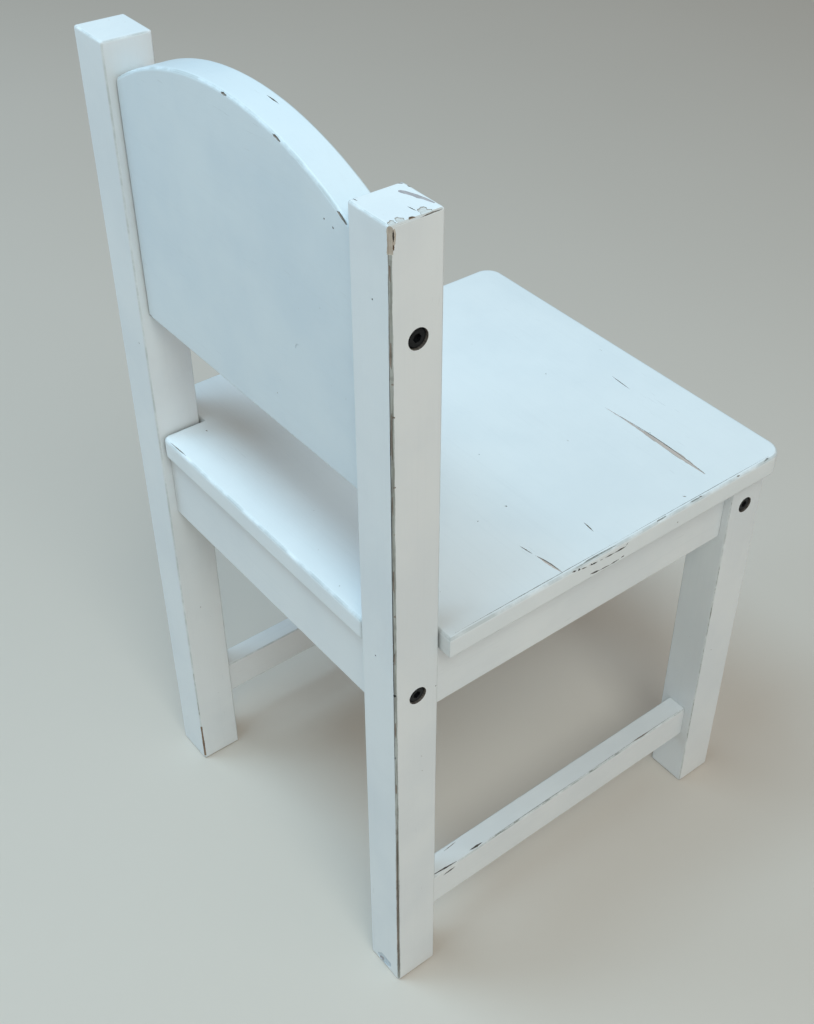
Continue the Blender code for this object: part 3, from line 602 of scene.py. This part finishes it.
def bore_for_bolt(piece, node, side):
    """The counterbore for the bolt's head, its rim just broken, and the clearance hole behind it."""
    low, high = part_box(node)
    y, z = (low.y + high.y) / 2, (low.z + high.z) / 2
    face = side * max(abs(low.x), abs(high.x)) + side * 0.8 * MM
    floor = face - side * (HEAD_HEIGHT + 1.1 * MM)
    radius = HEAD_DIAMETER / 2 + HEAD_GAP
    rim = radius + 0.2 * MM
    profile = [(0, 0), (radius, 0), (radius, 4.1 * MM), (rim, 4.3 * MM), (rim, 5.2 * MM), (0, 5.2 * MM)]
    head_cutter = turned("counterbore", profile, (floor, y, z), side, DRILL_SIDES)
    # Painted shade: the counterbore's wall is lined near-black for the shadow in the gap round the bolt's
    # head.
    head_cutter.data.materials.append(DIRT_AND_SHADE_IN_CRACKS)
    carve(piece, head_cutter)
    far_end = (face - side * 40 * MM, y, z)
    shank_radius = SHANK_DIAMETER / 2 + HOLE_GAP
    shank_cutter = rod("clearance", (face, y, z), far_end, shank_radius, HIDDEN_DRILL_SIDES)
    shank_cutter.data.materials.append(BEECH)
    carve(piece, shank_cutter)


def turned(name, profile, foot, side, sides=DRILL_SIDES):
    """A turned solid: its half profile, as radius and height, is spun about an axis towards the side."""
    let_go()
    bpy.ops.mesh.primitive_circle_add(vertices=len(profile), radius=MM, fill_type="NOTHING")
    solid = bpy.context.object
    solid.name = name
    bpy.ops.object.mode_set(mode="EDIT")
    shape = bmesh.from_edit_mesh(solid.data)
    shape.verts.ensure_lookup_table()
    for vertex, (radius, height) in zip(shape.verts, profile):
        vertex.co = (radius, 0, height)
    axis_edge = [edge for edge in shape.edges if all(vertex.co.x == 0 for vertex in edge.verts)]
    bmesh.update_edit_mesh(solid.data)
    bpy.ops.mesh.select_mode(type="EDGE")
    bpy.ops.mesh.select_all(action="DESELECT")
    for edge in axis_edge:
        edge.select_set(True)
    bpy.ops.mesh.delete(type="EDGE")
    bpy.ops.mesh.select_mode(type="VERT")
    bpy.ops.mesh.select_all(action="SELECT")
    bpy.ops.mesh.spin(steps=sides, angle=2 * math.pi, center=(0, 0, 0), axis=(0, 0, 1))
    bpy.ops.mesh.select_all(action="SELECT")
    bpy.ops.mesh.remove_doubles(threshold=MERGE)
    bpy.ops.mesh.dissolve_degenerate(threshold=MERGE)
    bpy.ops.mesh.select_all(action="SELECT")
    bpy.ops.mesh.normals_make_consistent(inside=False)
    done()
    solid.rotation_euler.y = side * math.radians(90)
    solid.location = foot
    return settle(solid)


def make_post(node):
    """A rear post or a front leg, with its bolt holes and dowel holes."""
    name = node.rsplit("_", 1)[1]
    side = SIDES[name]
    post = sawn_block("painted_" + node, *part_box(node))
    post.data.materials.append(PAINT["z"])
    ease_edges(post, ARRIS)
    saw_lines(post, "z")
    sand(post)
    rear = node.startswith("rear")
    bolts = ("back_bolt_", "rear_bolt_") if rear else ("front_bolt_",)
    for bolt in bolts:
        bore_for_bolt(post, bolt + name, side)
    cross = ("back_panel_dowel_", "rear_apron_dowel_") if rear else ("front_apron_dowel_",)
    for dowel in cross:
        bore_for(post, dowel + name, "x")
    end = "rear" if rear else "front"
    for rail in ("apron", "stretcher"):
        for height in ("lower", "upper"):
            bore_for(post, f"{rail}_dowel_{end}_{height}_{name}", "y")
    return post


def make_rail(node, axis):
    """An apron or a stretcher: a straight rail between two uprights, dowelled at both ends."""
    low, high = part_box(node)
    reach = AXES[axis] * HOLE_GAP
    rail = sawn_block("painted_" + node, low - reach, high + reach)
    rail.data.materials.append(PAINT[axis])

    def long_edge(edge):
        run = edge.verts[0].co - edge.verts[1].co
        return abs(run.dot(AXES[axis])) > 0.9 * run.length

    ease_edges(rail, ARRIS, long_edge)
    saw_lines(rail, axis)
    sand(rail)
    return rail


def make_side_rail(node):
    kind = "apron" if "apron" in node else "stretcher"
    name = node.rsplit("_", 1)[1]
    rail = make_rail(node, "y")
    for end in ("rear", "front"):
        for height in ("lower", "upper"):
            bore_for(rail, f"{kind}_dowel_{end}_{height}_{name}", "y")
    if kind == "apron":
        for end in ("rear", "front"):
            bore_for(rail, f"seat_screw_{end}_{name}", "z", past=3 * MM)
    return rail


def make_cross_rail(node, end):
    rail = make_rail(node, "x")
    bore_rail_ends(rail, f"{end}_apron_dowel_", f"{end}_insert_")
    return rail


def bore_rail_ends(rail, dowel, insert):
    for name in SIDES:
        bore_for(rail, dowel + name, "x")
        bore_for(rail, insert + name, "x", past=1 * MM)


def make_seat():
    """The seat board: rounded front corners, a notch for each rear post and softened rims."""
    low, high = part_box("seat_board")
    seat = sawn_block("painted_seat_board", low, high)
    seat.data.materials.append(SEAT_PAINT)
    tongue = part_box("rear_post_left")[0].x - SEAT_NOTCH_GAP
    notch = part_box("rear_post_left")[0].y - SEAT_NOTCH_GAP
    for side in SIDES.values():
        xs = sorted((side * tongue, side * (high.x + BLANK_SPARE)))
        notch_low = (xs[0], notch, low.z - BLANK_SPARE)
        notch_high = (xs[1], high.y + BLANK_SPARE, high.z + BLANK_SPARE)
        corner = sawn_block("notch", notch_low, notch_high)
        corner.data.materials.append(SEAT_PAINT)
        carve(seat, corner)

    def upright(edge, near_x, near_y):
        first, second = (vertex.co for vertex in edge.verts)
        middle = (first + second) / 2
        close = abs(abs(middle.x) - near_x) < MM and abs(middle.y - near_y) < MM
        return close and abs(first.z - second.z) > 5 * MM

    ease_edges(seat, SEAT_FRONT_CORNER, lambda edge: upright(edge, high.x, low.y), 10)
    ease_edges(seat, SEAT_REAR_CORNER, lambda edge: upright(edge, tongue, high.y), 5)
    level = lambda edge: abs(edge.verts[0].co.z - edge.verts[1].co.z) < 0.1 * MM
    ease_edges(seat, SEAT_ARRIS, level, 5)
    saw_lines(seat, "x", SEAT_SAW_PITCH)
    saw_lines(seat, "y", SEAT_SAW_PITCH)
    sand(seat)
    for name in SIDES:
        for end in ("rear", "front"):
            bore_for(seat, f"seat_screw_{end}_{name}", "z")
    return seat


def make_back():
    """The back panel: a block sawn to one arch, its top corners rounded and its rims softened."""
    low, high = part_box("back_panel")
    arch_centre = Vector((0, (low.y + high.y) / 2, high.z - BACK_ARCH_RADIUS))
    back = sawn_block("painted_back_panel", low, (high.x, high.y, high.z + BLANK_SPARE))
    back.data.materials.append(BACK_PAINT)
    reach = AXES["y"] * 30 * MM
    arch = rod("arch", arch_centre - reach, arch_centre + reach, BACK_ARCH_RADIUS, ARCH_SIDES)
    arch.data.materials.append(BACK_PAINT)
    carve(back, arch, "INTERSECT")

    def shoulder(edge):
        first, second = (vertex.co for vertex in edge.verts)
        at_side = abs(abs(first.x) - high.x) < 0.1 * MM
        return at_side and abs(first.y - second.y) > 5 * MM and first.z > low.z + 20 * MM

    ease_edges(back, BACK_CORNER, shoulder, 5)
    level = lambda edge: abs(edge.verts[0].co.y - edge.verts[1].co.y) < 0.1 * MM
    ease_edges(back, BACK_ARRIS, level, 4)
    saw_lines(back, "x", BACK_SAW_PITCH)
    saw_lines(back, "z", BACK_SAW_PITCH)
    sand(back)
    bore_rail_ends(back, "back_panel_dowel_", "back_insert_")
    return back


def make_bolt():
    """One socket-head connector bolt, with a domed rim and a hexagon socket."""
    low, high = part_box("back_bolt_left")
    length = high.x - low.x
    head = HEAD_DIAMETER / 2
    shank = SHANK_DIAMETER / 2
    profile = [
        (0, 0), (shank - 0.8 * MM, 0), (shank, 0.9 * MM), (shank, length - HEAD_HEIGHT),
        (head - 0.2 * MM, length - HEAD_HEIGHT), (head, length - HEAD_HEIGHT + 0.2 * MM),
        (head, length - 1.1 * MM), (head - 0.25 * MM, length - 0.45 * MM),
        (head - 0.8 * MM, length - 0.1 * MM), (head - 1.5 * MM, length), (0, length),
    ]
    bolt = turned("socket_bolt", profile, (low.x, (low.y + high.y) / 2, (low.z + high.z) / 2), 1)
    bolt.data.materials.append(BLACK_STEEL)
    mouth = Vector((high.x, (low.y + high.y) / 2, (low.z + high.z) / 2))
    key = rod("hex_key", mouth - AXES["x"] * SOCKET_DEPTH, mouth + AXES["x"] * 2 * MM,
              SOCKET_ACROSS_FLATS / math.sqrt(3), 6)
    key.data.materials.append(BLACK_STEEL)
    carve(bolt, key)

    def socket_rim(edge):
        places = [vertex.co for vertex in edge.verts]
        level = all(abs(place.x - high.x) < 0.02 * MM for place in places)
        return level and all((place - mouth).length < 2.6 * MM for place in places)

    ease_edges(bolt, 0.25 * MM, socket_rim, 2)
    return bolt


def place_bolts():
    """Copies the one bolt into all six holes, each with a mesh of its own."""
    pattern = make_bolt()
    low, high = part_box("back_bolt_left")
    centre = (low + high) / 2
    for number, kind in enumerate(("back", "rear", "front")):
        for name, side in SIDES.items():
            node = f"{kind}_bolt_{name}"
            low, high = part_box(node)
            take_up(pattern)
            bpy.ops.object.duplicate()
            bolt = bpy.context.object
            bolt.name = f"socket_bolt_{kind}_{name}"
            turn = Matrix.Rotation(math.radians(17 * number + 25 * side), 4, "X")
            flip = Matrix.Rotation(math.radians(0 if side > 0 else 180), 4, "Z")
            to_hole = Matrix.Translation((low + high) / 2)
            bolt.data.transform(to_hole @ flip @ turn @ Matrix.Translation(-centre))
            finish_piece(bolt, [node])
    bpy.data.objects.remove(pattern, do_unlink=True)


# The wooden parts
posts = {name: make_post(f"rear_post_{name}") for name in SIDES}
legs = {name: make_post(f"front_leg_{name}") for name in SIDES}
aprons = {name: make_side_rail(f"side_apron_{name}") for name in SIDES}
stretchers = {name: make_side_rail(f"side_stretcher_{name}") for name in SIDES}
rear_apron = make_cross_rail("rear_apron", "rear")
front_apron = make_cross_rail("front_apron", "front")
seat = make_seat()
back = make_back()


# Damage on the seat: splits that follow the grain from side to side
split(seat, SEAT_TOP, (-41, -88.6), (-124, -88.2), 3.6, 3, PALE_WOOD,
      depth=0.28, fattest=0.66, bow=0.7, steps=34)
# The two narrow splits along its rims are real grooves lined with darker wood, which also paints the shade
# under the lifted paint edges.
split(seat, SEAT_TOP, (-39, -88.2), (-124.5, -88.5), 0.55, 4, RUBBED_WOOD,
      depth=0.55, fattest=0.6, bow=2.3, steps=40)
split(seat, SEAT_TOP, (-66, -88.9), (-122.5, -88.0), 0.35, 5, WORN_EDGE,
      depth=0.4, fattest=0.6, bow=-0.9, steps=30)
split(seat, SEAT_TOP, (-17, -116.1), (-34.6, -114.8), 0.7, 6, RUBBED_WOOD)
split(seat, SEAT_TOP, (-104.7, 40.2), (-114.5, 39.0), 0.7, 7, RUBBED_WOOD)
split(seat, SEAT_TOP, (-117, 38.3), (-135.2, 36.5), 1.7, 8, PALE_WOOD, depth=0.3, fattest=0.5)
split(seat, SEAT_TOP, (-116, 38.6), (-135.6, 36.2), 0.5, 9, RUBBED_WOOD, depth=0.7, bow=0.7)
split(seat, SEAT_TOP, (-112.1, -1.4), (-121.2, -0.4), 0.9, 10, RUBBED_WOOD)
split(seat, SEAT_TOP, (75.7, 141.4), (93.8, 142.0), 0.7, 11, RUBBED_WOOD)
chip(seat, SEAT_TOP, (-74.6, 23.6), 1.3, 1.0, 20, 12, DIRT_AND_SHADE_IN_CRACKS)
chip(seat, SEAT_TOP, (-74.9, 44.8), 0.9, 0.7, 50, 13, DIRT_AND_SHADE_IN_CRACKS)
chip(seat, SEAT_TOP, (89.6, 119.1), 1.6, 0.9, 10, 14, RUBBED_WOOD)
chip(seat, SEAT_TOP, (-130.9, -63.3), 2.2, 0.7, 40, 15, RUBBED_WOOD)
chip(seat, SEAT_TOP, (-50.3, -46.5), 2.0, 0.5, 5, 16, UNDERCOAT)
chip(seat, SEAT_TOP, (11.0, -84.0), 0.9, 0.7, 0, 17, DIRT_AND_SHADE_IN_CRACKS)

# Faint smudges where the seat's paint is dirty
SMUDGES = [
    (-53.3, -49.5, 2.6, 0.9, 20), (-50.8, -44.4, 1.4, 0.7, 60), (-129.7, 57.2, 1.0, 2.4, 10),
    (-60.9, 31.5, 1.2, 1.0, 0), (-83.5, -8.6, 4.0, 0.6, -12), (-89.5, -14.8, 3.2, 0.6, 8),
    (-87.9, 24.6, 2.6, 0.6, 12), (-105.0, 5.9, 1.6, 1.0, 40),
    (-28.2, 4.7, 1.2, 0.9, 15), (-121.5, -22.0, 2.2, 0.5, -30), (-75.2, -91.6, 1.8, 0.6, 25),
]
for number, (x, y, length, width, turn) in enumerate(SMUDGES):
    chip(seat, SEAT_TOP, (x, y), length, width, turn, 280 + number, DUSTY, depth=0.05)

# Damage along the seat's edges
side_edge = straight_edge((-138, 114, 292), (-138, -132, 292), (-1, 0, 0), (0, 0, 1))
rubbed_edge(seat, side_edge, 1.045, 0.045, 21, WORN_EDGE, patch=13.0)
front_edge = straight_edge((-124, -145, 292), (124, -145, 292), (0, -1, 0), (0, 0, 1))
rubbed_edge(seat, front_edge, 1.035, 0.05, 20, WORN_EDGE, patch=15.0)
left_edge = straight_edge((138, 110, 292), (138, -128, 292), (1, 0, 0), (0, 0, 1))
rubbed_edge(seat, left_edge, 1.03, 0.05, 19, WORN_EDGE, patch=17.0)
chip(seat, SEAT_TOP, (-137.2, 12.0), 1.7, 30.0, 0, 24, WORN_EDGE, depth=0.7)
chip(seat, SEAT_TOP, (-136.9, -38.5), 1.3, 9.0, 5, 25, WORN_EDGE, depth=0.6)
chip(seat, SEAT_TOP, (-136.6, -36.0), 0.8, 2.6, 9, 28, RUBBED_WOOD, depth=0.6)
chip(seat, SEAT_TOP, (-136.9, -67.0), 1.2, 11.0, -4, 26, WORN_EDGE, depth=0.6)
chip(seat, SEAT_TOP, (-136.6, -71.0), 0.9, 2.2, -14, 18, RUBBED_WOOD, depth=0.6)
chip(seat, SEAT_TOP, (-137.0, -103.0), 0.9, 2.4, 0, 27, RUBBED_WOOD, depth=0.8)
chip(seat, SEAT_TOP, (-137.0, -127.5), 1.1, 7.0, 12, 29, WORN_EDGE, depth=0.7)

# Two broken cracks run along the seat's right edge, one above the other
UPPER_CRACK = [
    ((31.0, 290.6), (28.0, 290.2), 0.9), ((24.8, 289.5), (20.2, 288.7), 0.8),
    ((17.8, 288.4), (12.0, 288.0), 1.0), ((17.3, 289.5), (16.4, 288.2), 0.6),
    ((10.4, 287.9), (7.8, 287.8), 0.5), ((6.6, 287.7), (-1.4, 287.4), 0.8),
    ((-1.0, 287.4), (-9.8, 287.4), 1.2), ((-9.8, 287.8), (-11.4, 289.6), 0.5),
]
LOWER_CRACK = [
    ((17.0, 281.5), (9.4, 280.5), 1.2), ((9.8, 280.5), (1.6, 280.0), 0.8), ((2.0, 280.0), (-5.4, 280.3), 0.9),
    ((-6.9, 280.6), (-9.4, 280.9), 0.8),
]
for number, (start, end, width) in enumerate(UPPER_CRACK + LOWER_CRACK):
    split(seat, SEAT_RIGHT, start, end, width, 200 + number, DIRT_AND_SHADE_IN_CRACKS, depth=0.9, steps=10)
split(seat, SEAT_TOP, (-135.5, 112.0), (-135.5, -10.0), 0.5, 24, WORN_EDGE, depth=0.12, steps=40)
split(seat, SEAT_TOP, (-135.5, -6.0), (-135.5, -132.0), 0.5, 25, WORN_EDGE, depth=0.12, steps=40)
chip(seat, SEAT_RIGHT, (26.0, 289.9), 1.8, 1.5, 0, 22, DIRT_AND_SHADE_IN_CRACKS, depth=0.8)
chip(seat, SEAT_RIGHT, (-52.0, 283.0), 1.1, 0.8, 0, 23, RUBBED_WOOD)

# Damage on the near rear post: its top has lost flakes along the outer edge
near_post = posts["right"]
worn_arris = straight_edge((-130, 145, 2), (-130, 145, 528), (-1, 0, 0), (0, 1, 0))
rubbed_edge(near_post, worn_arris, 1.04, 0.14, 31, WORN_EDGE, patch=11.0)
broken_corner = straight_edge((-130, 145, 517), (-130, 145, 530.5), (-1, 0, 0), (0, 1, 0))
rubbed_edge(near_post, broken_corner, 1.34, 0.30, 49, STAINED, patch=2.6, pitch=0.7)
split(near_post, POST_REAR, (-129.3, 172.0), (-129.3, 3.0), 1.5, 30, RUBBED_WOOD,
      depth=1.1, fattest=0.62, steps=60)
# Known fault: this split leaves the post's mesh open along its length
split(near_post, POST_REAR, (-128.7, 508.0), (-128.7, 176.0), 0.42, 33, RUBBED_WOOD, depth=0.3, steps=60)
top_edge = straight_edge((-130, 118, 530), (-130, 144, 530), (-1, 0, 0), (0, 0, 1))
rubbed_edge(near_post, top_edge, 0.84, 0.16, 32, UNDERCOAT, patch=4.0)
split(near_post, POST_RIGHT, (129.5, 529.0), (118.2, 529.2), 0.5, 48, RUBBED_WOOD, depth=0.9)
flake(near_post, POST_TOP, [
    (-127.9, 143.9), (-126.9, 143.4), (-126.7, 142.3), (-125.9, 141.5), (-127.2, 140.6), (-128.2, 141.2),
    (-129.3, 140.6), (-131, 141.2), (-131.2, 143.2), (-130.6, 145.4), (-129.3, 144.6),
], UNDERCOAT, rim=0.25)
flake(near_post, POST_TOP, [
    (-127.0, 139.5), (-125.7, 138.9), (-125.6, 137.6), (-126.6, 137.3), (-127.6, 136.2), (-129.4, 137.2),
    (-131.2, 137.4), (-131.2, 139.3), (-129.0, 139.2), (-128.2, 139.9),
], UNDERCOAT, depth=0.35, rim=0.25)
flake(near_post, POST_TOP, [
    (-129.0, 134.6), (-128.3, 133.9), (-128.5, 132.6), (-129.4, 131.4), (-131, 131.8), (-131, 134.4),
    (-130.0, 134.9),
], BROWN_WOOD, depth=0.5, rim=0.15)
flake(near_post, POST_TOP, [
    (-126.4, 127.8), (-125.3, 127.4), (-125.2, 126.1), (-124.4, 125.2), (-124.9, 123.9), (-126.2, 123.6),
    (-127.3, 124.3), (-128.2, 122.8), (-129.3, 123.2), (-131, 124.8), (-131, 128.0), (-129.3, 128.6),
    (-128.0, 127.9),
], UNDERCOAT, rim=0.3)
split(near_post, POST_TOP, (-130.1, 127.0), (-129.5, 118.2), 0.8, 37, RUBBED_WOOD, depth=0.8)
split(near_post, POST_TOP, (-120.6, 128.9), (-125.8, 128.3), 0.55, 38, DIRT_AND_SHADE_IN_CRACKS)
split(near_post, POST_TOP, (-101.9, 142.4), (-105.2, 142.1), 0.5, 39, DIRT_AND_SHADE_IN_CRACKS)
SCRAPE = [
    (-107.9, 122.5), (-109.8, 121.3), (-112.3, 120.4), (-115.0, 119.4), (-118.5, 118.6), (-122.0, 118.1),
    (-124.8, 118.0), (-125.0, 118.6), (-121.9, 119.6), (-119.2, 120.3), (-117.6, 121.4), (-114.8, 121.9),
    (-112.0, 123.0), (-110.0, 124.0), (-108.4, 124.2), (-107.6, 123.4),
]
carve(near_post, plug("scrape", POST_TOP, SCRAPE, 0.12 * MM, GREY_RUB))
chip(near_post, POST_TOP, (-103.0, 118.9), 3.2, 0.9, 55, 41, GREY_RUB, depth=0.7)
chip(near_post, POST_TOP, (-107.2, 117.6), 2.4, 0.9, 20, 42, RUBBED_WOOD, depth=0.7)

# Its outer corner is knocked bare, and dirt has run down from there
flake(near_post, POST_RIGHT, [
    (144.9, 527.6), (144.8, 521.0), (143.6, 519.0), (142.0, 521.4), (141.6, 525.6), (142.2, 528.2),
], STAINED, depth=0.14, rim=0.15)
nick(near_post, (-130.1, 145.0, 529.2), (3.0, 2.6, 1.8), 43, STAINED)
split(near_post, POST_RIGHT, (143.0, 527.8), (142.8, 522.4), 0.95, 45, DIRT_AND_SHADE_IN_CRACKS, depth=0.8)
split(near_post, POST_RIGHT, (142.9, 521.4), (142.8, 518.6), 0.9, 44, BROWN_WOOD, depth=0.8)
NICK_HEIGHTS = (455, 438, 399, 371, 318, 262, 214, 150, 92, 47)
for number, z in enumerate(NICK_HEIGHTS):
    nick(near_post, (-130.0, 145.0, z), (1.6, 1.6, 3.0 + number % 3), 46 + number, RUBBED_WOOD)
ARRIS_CHIPS = ((509, 9), (470, 14), (428, 26), (388, 12), (341, 18), (289, 10), (236, 15), (188, 9))
for number, (z, length) in enumerate(ARRIS_CHIPS):
    chip(near_post, POST_REAR, (-129.2, z), 0.8, length, 0, 250 + number, RUBBED_WOOD, depth=0.9)
chip(near_post, POST_REAR, (-117.7, 491.6), 1.0, 0.8, 0, 57, DIRT_AND_SHADE_IN_CRACKS)
chip(near_post, POST_REAR, (-113.7, 279.9), 1.1, 0.8, 0, 58, DIRT_AND_SHADE_IN_CRACKS)
chip(near_post, POST_RIGHT, (118.3, 253.4), 0.8, 0.7, 0, 59, DIRT_AND_SHADE_IN_CRACKS)

# A dent at its foot, where the paint has crumbled
chip(near_post, POST_REAR, (-114.6, 6.0), 15.0, 9.0, -18, 60, FAINT_SCUFF, depth=0.35)
chip(near_post, POST_REAR, (-112.4, 4.0), 6.0, 3.2, -35, 63, GREY_RUB, depth=0.8)
chip(near_post, POST_REAR, (-117.6, 6.8), 4.6, 2.2, 30, 70, FAINT_SCUFF, depth=0.7)
chip(near_post, POST_REAR, (-115.0, 1.4), 8.0, 1.8, 4, 75, UNDERCOAT, depth=1.0)

# Damage on the far rear post
far_post = posts["left"]
crack_foot = straight_edge((101.5, 145, 3), (101.5, 145, 34), (-1, 0, 0), (0, 1, 0))
rubbed_edge(far_post, crack_foot, 0.95, 0.16, 61, BROWN_WOOD)
crack_run = straight_edge((101.5, 145, 30), (101.5, 145, 88), (-1, 0, 0), (0, 1, 0))
rubbed_edge(far_post, crack_run, 0.72, 0.08, 66, RUBBED_WOOD)
outer_edge = straight_edge((130, 145, 6), (130, 145, 526), (1, 0, 0), (0, 1, 0))
rubbed_edge(far_post, outer_edge, 0.60, 0.10, 62, WORN_EDGE, patch=24.0)

# Damage on the stretchers and the front legs
stretcher = stretchers["right"]
stretcher_edge = straight_edge((-123.4, 115, 72), (-123.4, -110, 72), (-1, 0, 0), (0, 0, 1))
rubbed_edge(stretcher, stretcher_edge, 0.68, 0.07, 64, WORN_EDGE)
split(stretcher, STRETCHER_TOP, (-121.0, 112.6), (-122.4, 93.0), 1.0, 65, DIRT_AND_SHADE_IN_CRACKS)
split(stretcher, STRETCHER_RIGHT, (104.6, 68.4), (95.0, 69.0), 1.4, 66, DIRT_AND_SHADE_IN_CRACKS, depth=0.8)
split(stretcher, STRETCHER_TOP, (-121.2, 81.6), (-121.4, 71.6), 1.5, 67, DIRT_AND_SHADE_IN_CRACKS, depth=0.8)
split(stretcher, STRETCHER_TOP, (-111.5, 94.6), (-110.6, 84.4), 0.6, 68, RUBBED_WOOD)
split(stretcher, STRETCHER_TOP, (-121.9, -60.9), (-122.2, -78.2), 0.9, 69, RUBBED_WOOD)
STRETCHER_CHIPS = ((58, 9), (44, 6), (17, 5), (-22, 4), (-46, 5))
for number, (y, length) in enumerate(STRETCHER_CHIPS):
    chip(stretcher, STRETCHER_TOP, (-122.6, y), 0.6, length, 0, 260 + number, WORN_EDGE, depth=0.7)
split(stretcher, STRETCHER_TOP, (-122.1, 68.0), (-122.1, -20.0), 0.5, 270, WORN_EDGE, depth=0.15, steps=40)
split(stretcher, STRETCHER_TOP, (-122.1, -14.0), (-122.1, -109.0), 0.5, 271, WORN_EDGE, depth=0.15, steps=40)
left_stretcher_edge = straight_edge((123.4, 110, 72), (123.4, -106, 72), (1, 0, 0), (0, 0, 1))
rubbed_edge(stretchers["left"], left_stretcher_edge, 0.62, 0.10, 76, WORN_EDGE, patch=16.0)
for name, side in SIDES.items():
    leg_edge = straight_edge((side * 130, -140, 4), (side * 130, -140, 262), (side, 0, 0), (0, -1, 0))
    rubbed_edge(legs[name], leg_edge, 0.63, 0.11, 78 + side, WORN_EDGE, patch=18.0)
near_leg_edge = straight_edge((-130, -111.5, 3), (-130, -111.5, 262), (-1, 0, 0), (0, 1, 0))
rubbed_edge(legs["right"], near_leg_edge, 0.67, 0.09, 81, WORN_EDGE, patch=14.0)

# Damage on the back panel
split(back, BACK_REAR, (-52.8, 434.0), (-49.2, 430.4), 0.7, 71, BACK_PAINT, depth=0.3, bow=1.1)
chip(back, BACK_REAR, (98.4, 375.2), 5.0, 1.8, 4, 72, RUBBED_WOOD)
chip(back, BACK_REAR, (-78.1, 510.0), 1.1, 0.9, 0, 73, DIRT_AND_SHADE_IN_CRACKS)
chip(back, BACK_REAR, (-84.5, 508.5), 1.3, 0.9, 30, 74, DIRT_AND_SHADE_IN_CRACKS)
chip(back, BACK_REAR, (81.7, 474.0), 5.0, 1.0, 65, 82, FAINT_SCUFF, depth=0.05)
chip(back, BACK_REAR, (15.5, 395.0), 7.0, 1.2, 30, 83, FAINT_SCUFF, depth=0.05)
split(back, ARCH_TOP, (-16.4, 126.0), (-25.1, 125.6), 0.8, 84, RUBBED_WOOD, depth=2.3)
ARCH_CHIPS = ((91.0, 5.0), (103.5, 6.5), (118.5, 9.0))
for number, (angle, length) in enumerate(ARCH_CHIPS):
    reach = BACK_ARCH_RADIUS / MM - 1.1
    centre_z = 540 - BACK_ARCH_RADIUS / MM
    place = (reach * math.cos(math.radians(angle)), centre_z + reach * math.sin(math.radians(angle)))
    chip(back, BACK_REAR, place, length, 1.1, angle - 90, 85 + number, RUBBED_WOOD, depth=0.9)

# Everything is smoothed and set on the chair
for name in SIDES:
    finish_piece(posts[name], [f"rear_post_{name}"])
    finish_piece(legs[name], [f"front_leg_{name}"])
    finish_piece(aprons[name], [f"side_apron_{name}"])
    finish_piece(stretchers[name], [f"side_stretcher_{name}"])
finish_piece(rear_apron, ["rear_apron"])
finish_piece(front_apron, ["front_apron"])
finish_piece(seat, ["seat_board"])
finish_piece(back, ["back_panel"])
place_bolts()

# The hidden joinery keeps its own solids, with a real finish
for node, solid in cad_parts.items():
    if "dowel" in node:
        solid.material_slots[0].material = BEECH
    elif "insert" in node or "screw" in node:
        solid.material_slots[0].material = ZINC

# Floor, light and camera
let_go()
bpy.ops.mesh.primitive_plane_add(size=30, location=(0, 0, 0))
floor = bpy.context.object
floor.name = "pale_floor"
floor.data.materials.append(mix_floor())


LIT_POINT = (0, 0, 0.3)


def soft_light(name, place, size, power, colour):
    let_go()
    bpy.ops.object.light_add(type="AREA", location=place)
    lamp = bpy.context.object
    lamp.name = name
    lamp.data.shape = "RECTANGLE"
    lamp.data.size, lamp.data.size_y = size
    lamp.data.energy = power
    lamp.data.color = colour
    lamp.rotation_euler = (Vector(LIT_POINT) - Vector(place)).to_track_quat("-Z", "Y").to_euler()


soft_light("overhead_light", (0.15, 0.62, 2.3), (0.9, 0.7), 21, (0.49, 0.79, 1.0))
soft_light("window_light", (2.0, 1.7, 1.9), (2.0, 1.6), 36, (0.56, 0.81, 1.0))
soft_light("high_side_light", (-1.45, 0.6, 2.15), (1.0, 1.0), 23, (0.92, 1.0, 0.98))
soft_light("room_fill", (-2.3, -0.8, 0.9), (2.0, 1.5), 6.2, (1.0, 0.91, 0.87))

world = bpy.data.worlds.new("studio_air")
bpy.context.scene.world = world
world.use_nodes = True
air = world.node_tree.nodes["Background"]
air.inputs["Color"].default_value = (1.0, 0.97, 0.91, 1.0)
air.inputs["Strength"].default_value = 0.26

bpy.context.scene.view_settings.view_transform = "Standard"

bpy.ops.object.camera_add(
    location=(-0.5182, 0.4347, 0.7886),
    rotation=[math.radians(angle) for angle in (50.30, -1.97, -130.24)],
)
camera = bpy.context.object
camera.name = "photograph_view"
camera.data.lens = 48.57
camera.data.shift_x = -0.0794
camera.data.clip_start = 0.01
bpy.context.scene.camera = camera

let_go()
